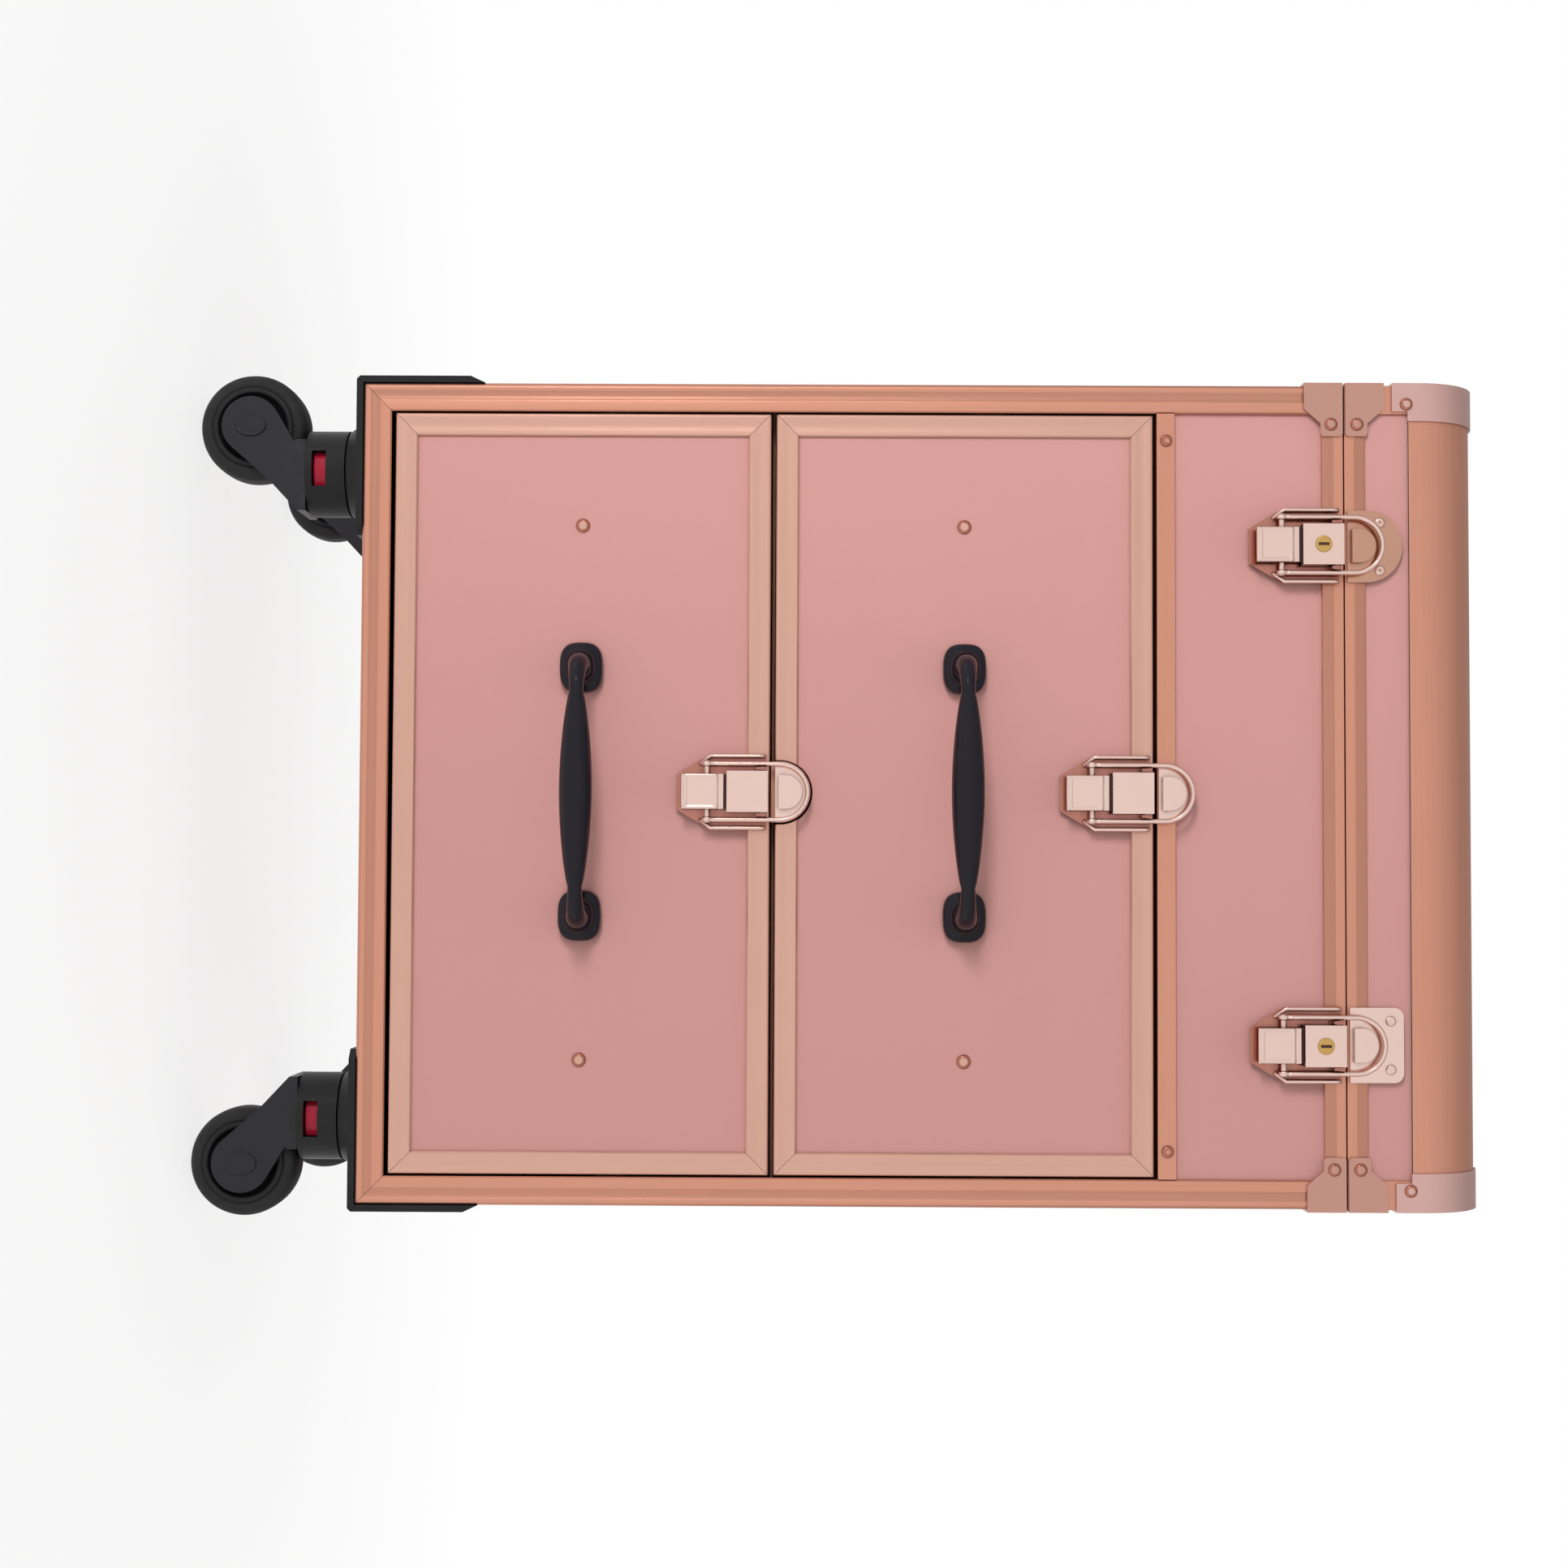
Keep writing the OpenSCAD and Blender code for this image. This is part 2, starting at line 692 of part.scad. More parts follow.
// Five boards with the side grooves that ride on the rails
module drawer_box(z) {
    z0 = z + box_rise;
    z1 = z0 + box_h;
    side_x = box_x - grooved_t;
    y0 = box_front_y;
    y1 = box_front_y + board_t + joint_gap;
    y2 = box_back_y - board_t - joint_gap;
    between([-box_x, y0, z0], [box_x, y0 + board_t, z1]);
    both_sides()
        difference() {
            between([side_x, y1, z0], [box_x, box_back_y, z1]);
            between([box_x - groove_d, y1 + 4, z + rail_z - rail_h / 2 - run_gap],
                    [box_x + 1, box_back_y + 1, z + rail_z + rail_h / 2 + run_gap]);
        }
    between([-side_x + joint_gap, y2 + joint_gap, z0], [side_x - joint_gap, box_back_y, z1]);
    between([-side_x + joint_gap, y1, z0], [side_x - joint_gap, y2, z0 + board_t]);
}

// Turned grip between two bent necks that stand on rounded feet
module pull(z) {
    axis_z = pull_reach - grip_d / 2;
    half = pull_span / 2 - pull_bend;
    on_front(0, z + pull_z) translate([0, 0, -drawer_face_t]) {
        rotate([0, 90, 0]) translate([-axis_z, 0, -half])
            rotate_extrude()
                polygon(concat([[0, 0]],
                               [for (i = [0 : 16])
                                   [neck_d / 2 + (grip_d - neck_d) / 2 * pow(sin(180 * i / 16), 0.8),
                                    2 * half * i / 16]],
                               [[0, 2 * half]]));
        for (s = [0, 1]) mirror([s, 0, 0]) {
            translate([half, 0, axis_z - pull_bend])
                rotate([90, 0, 0]) rotate_extrude(angle = 90) translate([pull_bend, 0]) circle(d = neck_d);
            translate([half + pull_bend, 0, 0]) {
                cylinder(d = neck_d, h = axis_z - pull_bend);
                linear_extrude(foot_h) rounded_pad(foot_l, foot_w, foot_r);
                translate([0, 0, foot_h]) cylinder(r1 = foot_w / 2 - 1, r2 = neck_d / 2, h = 2 * foot_h);
            }
        }
    }
}

module lower_drawer_box() color(wood) drawer_box(lower_z);
module lower_drawer_panel() color(pink) drawer_panel(lower_z, false);
module lower_drawer_frame() color(rose) drawer_frame(lower_z, false);
module lower_drawer_pull() color(black) pull(lower_z);
module upper_drawer_box() color(wood) drawer_box(upper_z);
module upper_drawer_panel() color(pink) drawer_panel(upper_z, true);
module upper_drawer_frame() color(rose) drawer_frame(upper_z, true);
module upper_drawer_pull() color(black) pull(upper_z);

// Latches: plan coordinates from the seam

// Plate with low side rims and the ears of the lever pin; studs reach back to the panel
module latch_base(recess) {
    difference() {
        union() {
            linear_extrude(latch_t)
                polygon([[-latch_x, latch_taper], [-shoulder_x, shoulder_y], [-tab_x, latch_base_end],
                         [tab_x, latch_base_end], [shoulder_x, shoulder_y], [latch_x, latch_taper],
                         [latch_x, latch_base_y], [-latch_x, latch_base_y]]);
            for (s = [0, 1]) mirror([s, 0, 0]) {
                between([latch_x - latch_t, latch_taper, 0], [latch_x, latch_base_y, box_z0]);
                between([ear_in, -6.6, 0], [ear_out, latch_base_y, pin_z + 2.4]);
                translate([stud_x, latch_taper + 1, -recess]) cylinder(r = stud_r, h = recess + 0.5);
            }
        }
        translate([-latch_w, pin_y, pin_z]) rotate([0, 90, 0]) cylinder(r = lever_pin_r + pin_gap, h = 2 * latch_w);
    }
}

// A pin along x of the half length given
module cross_pin(half, y, r) {
    translate([-half, y, pin_z]) rotate([0, 90, 0]) cylinder(r = r, h = 2 * half);
}

// Square box, finger tab with a rolled end and both pins of one lever
module latch_lever(locked) {
    low = box_y - box_side / 2;
    difference() {
        union() {
            between([-box_side / 2, low, box_z0], [box_side / 2, low + box_side, box_z1]);
            between([-tab_x, tab_end, tab_z], [tab_x, low + 0.5, tab_z + tab_t]);
            translate([-tab_x, tab_end, tab_z + tab_t / 2])
                rotate([0, 90, 0]) cylinder(r = tab_t / 2 + 0.3, h = 2 * tab_x);
            cross_pin(ear_out + 0.1, pin_y, lever_pin_r);
            cross_pin(loop_out + 0.3, loop_pin_y, loop_pin_r);
        }
        between([-tab_x - 1, low - 1.4, tab_z + 1], [tab_x + 1, low, tab_z + 10]);
        if (locked)
            translate([0, box_y, box_z1 - 4.1]) cylinder(r = lock_r + pin_gap, h = 20);
    }
}

// U strap that hangs on the loop pin and closes round the hook
module latch_loop() {
    difference() {
        union() {
            for (s = [0, 1]) mirror([s, 0, 0]) {
                between([loop_in, loop_pin_y, loop_z], [loop_out, loop_c + 0.5, loop_z + loop_t]);
                translate([loop_in, loop_pin_y, pin_z]) rotate([0, 90, 0]) cylinder(r = 2.3, h = loop_bar);
            }
            intersection() {
                translate([0, loop_c, loop_z])
                    difference() {
                        cylinder(r = loop_out, h = loop_t);
                        translate([0, 0, -1]) cylinder(r = loop_in, h = loop_t + 2);
                    }
                between([-latch_w, loop_c, 0], [latch_w, latch_w + loop_c, 20]);
            }
        }
        translate([-latch_w, loop_pin_y, pin_z]) rotate([0, 90, 0]) cylinder(r = loop_pin_r + pin_gap, h = 2 * latch_w);
    }
}

// The round nosed hook that the loop closes round
module latch_hook() {
    linear_extrude(hook_z) round_topped(hook_x, hook_y, hook_y + 2.9);
}

// Two rivets through a strike, with studs that reach back to the lid wall
module strike_rivets(y) {
    for (s = [-1, 1]) translate([s * shoulder_x, y, 0]) {
        translate([0, 0, latch_t - 0.1]) rivet(2.2, 0.9);
        translate([0, 0, -profile_t]) cylinder(r = stud_r, h = profile_t + 0.5);
    }
}

// Round topped plate with its hook
module round_strike(r, centre) {
    linear_extrude(latch_t) round_topped(r, strike_y, centre);
    latch_hook();
}

// Rectangular plate with rounded upper corners and its hook
module square_strike(top) {
    r = 4;
    x = latch_x - r;
    linear_extrude(latch_t) {
        translate([-latch_x, strike_y]) square([latch_w, top - r - strike_y]);
        translate([-x, strike_y]) square([2 * x, top - strike_y]);
        for (s = [-1, 1]) translate([s * x, top - r]) circle(r = r);
    }
    latch_hook();
}

// A lock core with its keyway
module lock_core() {
    difference() {
        translate([0, box_y, box_z1 - 3.8]) cylinder(r = lock_r, h = 4.1);
        translate([-0.6, box_y - 2.2, box_z1 - 0.7]) cube([1.2, 4.4, 3]);
    }
}

module lid_latch_bases() color(pale) {
    for (s = [-1, 1]) on_front(s * lid_latch_x, seam_z) latch_base(face_t);
}

module lower_latch_base() color(pale) on_front(0, lower_seam_z) latch_base(drawer_face_t);
module upper_latch_base() color(pale) on_front(0, upper_seam_z) latch_base(drawer_face_t);
module lower_latch_lever() color(pale) on_front(0, lower_seam_z) latch_lever(false);
module upper_latch_lever() color(pale) on_front(0, upper_seam_z) latch_lever(false);
module left_lid_latch_lever() color(pale) on_front(-lid_latch_x, seam_z) latch_lever(true);
module right_lid_latch_lever() color(pale) on_front(lid_latch_x, seam_z) latch_lever(true);
module lower_latch_loop() color(pale) on_front(0, lower_seam_z) latch_loop();
module upper_latch_loop() color(pale) on_front(0, upper_seam_z) latch_loop();
module left_lid_latch_loop() color(pale) on_front(-lid_latch_x, seam_z) latch_loop();
module right_lid_latch_loop() color(pale) on_front(lid_latch_x, seam_z) latch_loop();
module left_lock_core() color(brass) on_front(-lid_latch_x, seam_z) lock_core();
module right_lock_core() color(brass) on_front(lid_latch_x, seam_z) lock_core();

module drawer_strikes() color(pale) {
    for (z = [lower_seam_z, upper_seam_z]) on_front(0, z) round_strike(loop_out - 0.4, loop_c);
}

module lid_strikes() color(pale) {
    on_front(-lid_latch_x, seam_z) {
        round_strike(latch_x - 0.5, 9);
        strike_rivets(14.5);
    }
    on_front(lid_latch_x, seam_z) {
        square_strike(23.4);
        strike_rivets(18);
    }
}

// Trolley

module tube_pair(w, d, t, z0, z1) {
    for (s = [-1, 1]) translate([s * tube_x, tube_y, z0])
        linear_extrude(z1 - z0)
            difference() {
                stadium(w, d);
                stadium(w - 2 * t, d - 2 * t);
            }
}

// Outer tubes with their upper and lower brackets on the back panel
module trolley_outer_tubes() color(steel) {
    tube_pair(tube_w, tube_d, tube_t, tube_z, tube_top);
    for (z = [tube_z - 6, tube_top - 26])
        difference() {
            between([-tube_x - tube_w / 2 - 6, back_y - profile_t, z],
                    [tube_x + tube_w / 2 + 6, tube_y + tube_d / 2 + 2, z + 24]);
            for (s = [-1, 1]) translate([s * tube_x, tube_y, z == tube_z - 6 ? tube_z : z - 1])
                linear_extrude(40) stadium(tube_w + 2 * joint_gap, tube_d + 2 * joint_gap);
            between([-tube_x + tube_w / 2 + 6, back_y + 4, z - 1], [tube_x - tube_w / 2 - 6, back_y + 40, z + 40]);
        }
}

module trolley_middle_tubes() color(steel) {
    tube_pair(mid_w, mid_d, tube_t, tube_z + 3, tube_top + 1);
}

module trolley_inner_tubes() color(steel) {
    tube_pair(in_w, in_d, 1, tube_z + 6, grip_z + 16);
}

// Bar on two legs that take the inner tubes, with a recess for the button
module trolley_grip() color(black) {
    y0 = back_y + 1.5;
    leg_x = tube_w / 2 + 4;
    difference() {
        union() {
            between([-tube_x - leg_x, y0, grip_top - grip_bar], [tube_x + leg_x, y0 + trolley_grip_d, grip_top]);
            for (s = [-1, 1])
                between([s * tube_x - leg_x, y0, grip_z], [s * tube_x + leg_x, y0 + trolley_grip_d, grip_top - grip_bar + 1]);
        }
        for (s = [-1, 1]) translate([s * tube_x, tube_y, grip_z - 1])
            linear_extrude(17 + joint_gap) stadium(in_w + 2 * joint_gap, in_d + 2 * joint_gap);
        between([-14 - run_gap, y0 + 4, grip_top - 8], [14 + run_gap, y0 + trolley_grip_d - 4, grip_top + 1]);
    }
}

module trolley_button() color(black) {
    y0 = back_y + 1.5;
    between([-14, y0 + 4 + run_gap, grip_top - 7 + trolley_press - 0.6],
            [14, y0 + trolley_grip_d - 4 - run_gap, grip_top + trolley_press - 1]);
}

// Casters

// Sleeve with a window front and back, its floor and the kingpin
module caster_sleeve() {
    translate([-plug_x, -plug_y, 0]) {
        difference() {
            translate([0, 0, sleeve_z]) cylinder(r = sleeve_r, h = sleeve_h);
            translate([0, 0, sleeve_top - plug_h - plug_gap]) cylinder(r = plug_r + plug_gap, h = plug_h + 5);
            translate([-button_w / 2 - run_gap, -sleeve_r - 1, window_z - button_h / 2 - run_gap])
                cube([button_w + 2 * run_gap, 2 * sleeve_r + 2, button_h + 2 * run_gap]);
        }
        translate([0, 0, fork_top - 4.6]) cylinder(r = king_r, h = 4.6 + run_gap + 0.5);
    }
}

// Two cheeks round the wheel and the bridge that turns on the kingpin, with the axle
module caster_fork() {
    translate([-plug_x, -plug_y, 0]) {
        difference() {
            for (s = [-1, 1]) translate([0, s > 0 ? fork_x + cheek_t : -fork_x, 0]) rotate([90, 0, 0]) linear_extrude(cheek_t) {
                hull() {
                    translate([-trail, wheel_r]) circle(r = cheek_r, $fn = 40);
                    translate([-2, fork_top - arm_r - 0.5]) circle(r = arm_r, $fn = 40);
                }
                polygon([[-13, fork_top], [-13, fork_top - 4], [2, fork_top - 2 * arm_r], [fork_back, fork_top - 3.5], [fork_back, fork_top]]);
            }
            translate([-trail, -through / 2, wheel_r]) rotate([-90, 0, 0]) cylinder(r = axle_r + pin_gap, h = through);
        }
        difference() {
            translate([0, fork_x, 0]) rotate([90, 0, 0]) linear_extrude(2 * fork_x)
                polygon([[-9, fork_top], [-9, fork_top - 6], [2, fork_top - 2 * arm_r + 1], [fork_back, fork_top - 3.5], [fork_back, fork_top]]);
            translate([-trail, -through / 2, wheel_r]) rotate([-90, 0, 0]) cylinder(r = wheel_r + 0.9, h = through);
            cylinder(r = king_r + pin_gap, h = through);
        }
        translate([-trail, -fork_x - cheek_t - 0.6, wheel_r])
            rotate([-90, 0, 0]) cylinder(r = axle_r, h = 2 * (fork_x + cheek_t + 0.6));
    }
}

// Hub and tyre
module caster_wheel() {
    rim_r = wheel_r * 0.74;
    half = wheel_w / 2;
    translate([-plug_x - trail, -plug_y, wheel_r]) rotate([90, 0, 0]) {
        rotate_extrude()
            polygon([[axle_r + pin_gap, -half], [6, -half], [6, -half + 1.5], [rim_r - 2.5, -half + 1.5], [rim_r - 2.5, -half],
                     [rim_r, -half], [rim_r, half], [rim_r - 2.5, half], [rim_r - 2.5, half - 1.5],
                     [6, half - 1.5], [6, half], [axle_r + pin_gap, half]]);
        rotate_extrude()
            polygon([[rim_r + joint_gap, -half + 0.4], [wheel_r - 2.5, -half + 0.4], [wheel_r - 0.7, -half + 2],
                     [wheel_r, -half + 5], [wheel_r, half - 5], [wheel_r - 0.7, half - 2], [wheel_r - 2.5, half - 0.4],
                     [rim_r + joint_gap, half - 0.4]]);
    }
}

// Button in the plug, its face following the round of the plug
module release_button() {
    intersection() {
        translate([-plug_x, -plug_y, 0]) {
            translate([-button_w / 2, -plug_r, window_z - button_h / 2]) cube([button_w, button_d, button_h]);
        }
        translate([-plug_x, -plug_y, window_z - button_h]) cylinder(r = plug_r - 0.1, h = 2 * button_h);
    }
}

module front_left_sleeve() color(black) at_corner(CORNERS[0]) caster_sleeve();
module front_right_sleeve() color(black) at_corner(CORNERS[1]) caster_sleeve();
module rear_left_sleeve() color(black) at_corner(CORNERS[2]) caster_sleeve();
module rear_right_sleeve() color(black) at_corner(CORNERS[3]) caster_sleeve();
module front_left_fork() color(black) at_corner(CORNERS[0]) caster_fork();
module front_right_fork() color(black) at_corner(CORNERS[1]) caster_fork();
module rear_left_fork() color(black) at_corner(CORNERS[2]) caster_fork();
module rear_right_fork() color(black) at_corner(CORNERS[3]) caster_fork();
module front_left_wheel() color(black) at_corner(CORNERS[0]) caster_wheel();
module front_right_wheel() color(black) at_corner(CORNERS[1]) caster_wheel();
module rear_left_wheel() color(black) at_corner(CORNERS[2]) caster_wheel();
module rear_right_wheel() color(black) at_corner(CORNERS[3]) caster_wheel();
module front_left_button() color(red) at_corner(CORNERS[0]) release_button();
module front_right_button() color(red) at_corner(CORNERS[1]) release_button();
module rear_left_button() color(red) at_corner(CORNERS[2]) release_button();
module rear_right_button() color(red) at_corner(CORNERS[3]) release_button();

side_panels();
back_panel();
base_panel();
compartment_front_panel();
compartment_floor();
drawer_divider();
front_frame();
edge_profiles();
carcass_corner_brackets();
corner_protectors();
drawer_rails();
hinge_carcass_leaves();
trolley_outer_tubes();
lid_latch_bases();
drawer_strikes();
lid_panels();
lid_profiles();
lid_corners();
hinge_lid_leaves();
lid_strikes();
lower_drawer_box();
lower_drawer_panel();
lower_drawer_frame();
lower_drawer_pull();
lower_latch_base();
upper_drawer_box();
upper_drawer_panel();
upper_drawer_frame();
upper_drawer_pull();
upper_latch_base();
lower_latch_lever();
upper_latch_lever();
left_lid_latch_lever();
right_lid_latch_lever();
lower_latch_loop();
upper_latch_loop();
left_lid_latch_loop();
right_lid_latch_loop();
left_lock_core();
right_lock_core();
trolley_middle_tubes();
trolley_inner_tubes();
trolley_grip();
trolley_button();
front_left_sleeve();
front_right_sleeve();
rear_left_sleeve();
rear_right_sleeve();
front_left_fork();
front_right_fork();
rear_left_fork();
rear_right_fork();
front_left_wheel();
front_right_wheel();
rear_left_wheel();
rear_right_wheel();
front_left_button();
front_right_button();
rear_left_button();
rear_right_button();
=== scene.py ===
"""Rolling makeup case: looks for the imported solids, laid out as an add-on and run as a script."""

import json
import math

import bmesh
import bpy
from mathutils import Matrix, Vector


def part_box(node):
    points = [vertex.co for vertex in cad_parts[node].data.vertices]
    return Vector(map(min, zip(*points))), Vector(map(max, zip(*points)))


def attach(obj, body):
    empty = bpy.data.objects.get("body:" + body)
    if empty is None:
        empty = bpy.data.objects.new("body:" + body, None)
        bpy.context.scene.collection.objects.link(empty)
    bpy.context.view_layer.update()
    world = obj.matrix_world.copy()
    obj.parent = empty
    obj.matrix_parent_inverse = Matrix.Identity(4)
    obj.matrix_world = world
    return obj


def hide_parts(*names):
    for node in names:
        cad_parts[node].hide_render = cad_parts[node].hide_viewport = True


bl_info = {
    "name": "Rolling makeup case",
    "version": (1, 0, 0),
    "blender": (4, 5, 0),
    "location": "View3D > Sidebar > Makeup case",
    "description": "Finishes, turned and moulded pieces, rivets and a studio for the rolling makeup case",
    "category": "Object",
}

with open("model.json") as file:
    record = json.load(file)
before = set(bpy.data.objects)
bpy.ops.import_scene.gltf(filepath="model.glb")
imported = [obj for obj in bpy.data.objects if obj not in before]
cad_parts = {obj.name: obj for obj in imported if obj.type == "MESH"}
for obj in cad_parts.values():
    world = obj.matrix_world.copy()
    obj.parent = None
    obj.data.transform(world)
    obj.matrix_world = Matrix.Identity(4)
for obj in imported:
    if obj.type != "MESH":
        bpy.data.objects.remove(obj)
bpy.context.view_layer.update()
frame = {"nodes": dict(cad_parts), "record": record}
NODES = frame["nodes"]

CORNERS = ("front_left", "front_right", "rear_left", "rear_right")
DRAWERS = ("lower", "upper")
# Each latch and the body that carries its base
LATCHES = {
    "lower_latch": "lower_drawer",
    "upper_latch": "upper_drawer",
    "left_lid_latch": "carcass",
    "right_lid_latch": "carcass",
}
FRONT = Vector((0.0, -1.0, 0.0))
BACK = Vector((0.0, 1.0, 0.0))
RIGHT = Vector((1.0, 0.0, 0.0))
UP = Vector((0.0, 0.0, 1.0))
WHITE = (1.0, 1.0, 1.0, 1.0)


def srgb(r, g, b):
    """A colour written in 0 to 255 display values, as linear light."""
    shares = [c / 255.0 for c in (r, g, b)]
    return tuple(c / 12.92 if c <= 0.04045 else ((c + 0.055) / 1.055) ** 2.4 for c in shares)


def colour_prop(name, description, value):
    return bpy.props.FloatVectorProperty(
        name=name, description=description, subtype="COLOR", size=3, min=0.0, max=1.0, default=srgb(*value))


def length_prop(name, description, millimetres):
    return bpy.props.FloatProperty(
        name=name, description=description, subtype="DISTANCE", unit="LENGTH", default=millimetres / 1000.0)


def angle_prop(name, description, degrees):
    return bpy.props.FloatProperty(
        name=name, description=description, subtype="ANGLE", default=math.radians(degrees))


def number_prop(name, description, value):
    return bpy.props.FloatProperty(name=name, description=description, default=value)


class CaseFinishes(bpy.types.PropertyGroup):
    """Colours of the case."""

    laminate: colour_prop("Laminate", "Pink laminate of the panels", (214, 155, 150))
    profile: colour_prop("Profiles", "Rose gold of the frame and the edging", (219, 155, 131))
    drawer_profile: colour_prop("Drawer frames", "Paler rose gold of the drawer frames", (221, 173, 155))
    bracket: colour_prop("Brackets", "Pressed brackets at the seam", (204, 154, 139))
    cap: colour_prop("Caps", "Pressed caps on the lid corners", (220, 178, 170))
    latch: colour_prop("Latches", "Polished plating of the latches", (234, 203, 192))
    # The bases' plating is darker partly as their own tone and partly as painted shade under the levers.
    latch_base: colour_prop("Latch bases", "Darker plating under the levers", (184, 124, 110))
    strike: colour_prop("Tan strike", "Plating of the round lid strike", (200, 152, 130))
    # Painted shade: the dark colour for slots, grooves and the crevices that the AO mask finds.
    recess_shade: colour_prop("Recesses", "Dark film in slots and grooves", (74, 42, 38))
    rivet: colour_prop("Rivets", "Copper of the rivet heads", (178, 118, 100))
    moulding: colour_prop("Mouldings", "Black plastic of casters and protectors", (20, 20, 22))
    pull: colour_prop("Pulls", "Black lacquer of the drawer pulls", (22, 19, 29))
    arm: colour_prop("Caster arms", "Greyer plastic of the caster arms", (38, 38, 42))
    tyre: colour_prop("Tyres", "Rubber of the wheels", (21, 21, 23))
    button: colour_prop("Buttons", "Red release buttons", (176, 22, 52))
    lock: colour_prop("Locks", "Brass of the lock cores", (205, 165, 96))
    board: colour_prop("Boards", "Plywood of the drawers", (196, 152, 112))
    lining: colour_prop("Lining", "Cloth inside the drawers and the top", (48, 44, 47))
    divider: colour_prop("Divider", "Rose lacquer of the sheet between the drawers", (198, 140, 120))
    steel: colour_prop("Steel", "Zinc plated sheet and hinges", (176, 176, 180))
    tube: colour_prop("Tubes", "Anodised trolley tubes", (196, 196, 200))


class CaseSizes(bpy.types.PropertyGroup):
    """Sizes of the pieces made here."""

    neck_radius: length_prop("Neck radius", "Thin part of a drawer pull", 2.9)
    grip_radius: length_prop("Grip radius", "Thickest part of a drawer pull", 6.75)
    pull_bend: length_prop("Pull bend", "Bend between foot and grip of a pull", 12.0)
    foot_length: length_prop("Foot length", "Length of the feet of a pull", 21.0)
    rivet_radius: length_prop("Rivet radius", "Head of a rivet", 2.75)
    rivet_height: length_prop("Rivet height", "Height of a rivet head", 1.35)
    edge: length_prop("Edge", "Broken edge of metal and boards", 0.35)
    moulded_edge: length_prop("Moulded edge", "Round edge of plastic pieces", 0.9)


class CaseStage(bpy.types.PropertyGroup):
    """Camera and light."""

    camera_place: bpy.props.FloatVectorProperty(
        name="Camera", description="Place of the camera", subtype="TRANSLATION",
        default=(0.0378, -1.1022, 0.2554))
    yaw: angle_prop("Yaw", "Turn of the camera to the left", 2.391)
    pitch: angle_prop("Pitch", "Tilt of the camera upward", -0.224)
    roll: angle_prop("Roll", "Turn about the view", 0.261)
    focal: number_prop("Focal length", "Lens for a 36 mm frame, in millimetres", 54.64)
    key: number_prop("Key light", "Power that every lamp takes a share of", 14.0)
    fill: number_prop("Sky", "Strength of the even light all round", 0.42)


def finishes():
    return bpy.context.scene.case_finishes


def sizes():
    return bpy.context.scene.case_sizes


# Nodes and shader groups

def feed(tree, socket, value):
    """Links an input to a socket, or sets it to a plain value."""
    if isinstance(value, bpy.types.NodeSocket):
        tree.links.new(value, socket)
    else:
        socket.default_value = value


def add_node(tree, kind, feeds=None, **settings):
    """A new node with its settings; feeds holds a socket or a value for each input by name or number."""
    made = tree.nodes.new(kind)
    for label, value in settings.items():
        setattr(made, label, value)
    for key, value in (feeds or {}).items():
        feed(tree, made.inputs[key], value)
    return made


def math_node(tree, operation, a, b):
    """The result of a Math node on two sockets or numbers."""
    return add_node(tree, "ShaderNodeMath", {0: a, 1: b}, operation=operation).outputs[0]


def ramp(tree, value, low, high, to_low=0.0, to_high=1.0, kind="LINEAR"):
    """The result of a Map Range node from one span to another."""
    feeds = {"Value": value, "From Min": low, "From Max": high, "To Min": to_low, "To Max": to_high}
    return add_node(tree, "ShaderNodeMapRange", feeds, interpolation_type=kind).outputs["Result"]


def noise(tree, vector, scale, detail, roughness=0.5):
    feeds = {"Vector": vector, "Scale": scale, "Detail": detail, "Roughness": roughness}
    return add_node(tree, "ShaderNodeTexNoise", feeds).outputs[0]


def new_group(name, inputs, outputs):
    """An empty shader group with its inner sockets; an input without a value takes a vector."""
    tree = bpy.data.node_groups.new(name, "ShaderNodeTree")
    for label, value in inputs.items():
        kind = "NodeSocketVector" if value is None else "NodeSocketFloat"
        socket = tree.interface.new_socket(label, in_out="INPUT", socket_type=kind)
        if value is not None:
            socket.default_value = value
    for label in outputs:
        tree.interface.new_socket(label, in_out="OUTPUT", socket_type="NodeSocketFloat")
    return tree, tree.nodes.new("NodeGroupInput").outputs, tree.nodes.new("NodeGroupOutput").inputs


FINER_GRAIN = 2.7
GRAIN_SHARES = (0.6, 0.4)


def fine_grain_group():
    """Even grain for emboss, moulded texture and brush marks, by the stretch of the vector that comes in."""
    tree, given, out = new_group("Fine grain", {"Vector": None, "Scale": 1.0}, ["Mask", "Height"])
    coarse = noise(tree, given["Vector"], given["Scale"], detail=2.0)
    finer = math_node(tree, "MULTIPLY", given["Scale"], FINER_GRAIN)
    fine = noise(tree, given["Vector"], finer, detail=3.0, roughness=0.6)
    shares = [math_node(tree, "MULTIPLY", level, share) for level, share in zip((coarse, fine), GRAIN_SHARES)]
    both = math_node(tree, "ADD", *shares)
    feed(tree, out["Mask"], ramp(tree, both, 0.3, 0.7))
    feed(tree, out["Height"], both)
    return tree


def smudge_group():
    """Large soft patches where hands have dulled a surface."""
    tree, given, out = new_group("Handling smudges", {"Vector": None, "Scale": 14.0}, ["Mask"])
    patches = noise(tree, given["Vector"], given["Scale"], detail=4.0, roughness=0.62)
    feed(tree, out["Mask"], ramp(tree, patches, 0.42, 0.68))
    return tree


def wear_group():
    """Rubbed edges: where the surface bends outward, broken up by noise."""
    tree, given, out = new_group("Rubbed edges", {"Pointiness": 0.5, "Vector": None}, ["Mask"])
    rubbed = ramp(tree, given["Pointiness"], 0.52, 0.62)
    broken = ramp(tree, noise(tree, given["Vector"], scale=160.0, detail=3.0), 0.4, 0.62)
    feed(tree, out["Mask"], math_node(tree, "MULTIPLY", rubbed, broken))
    return tree


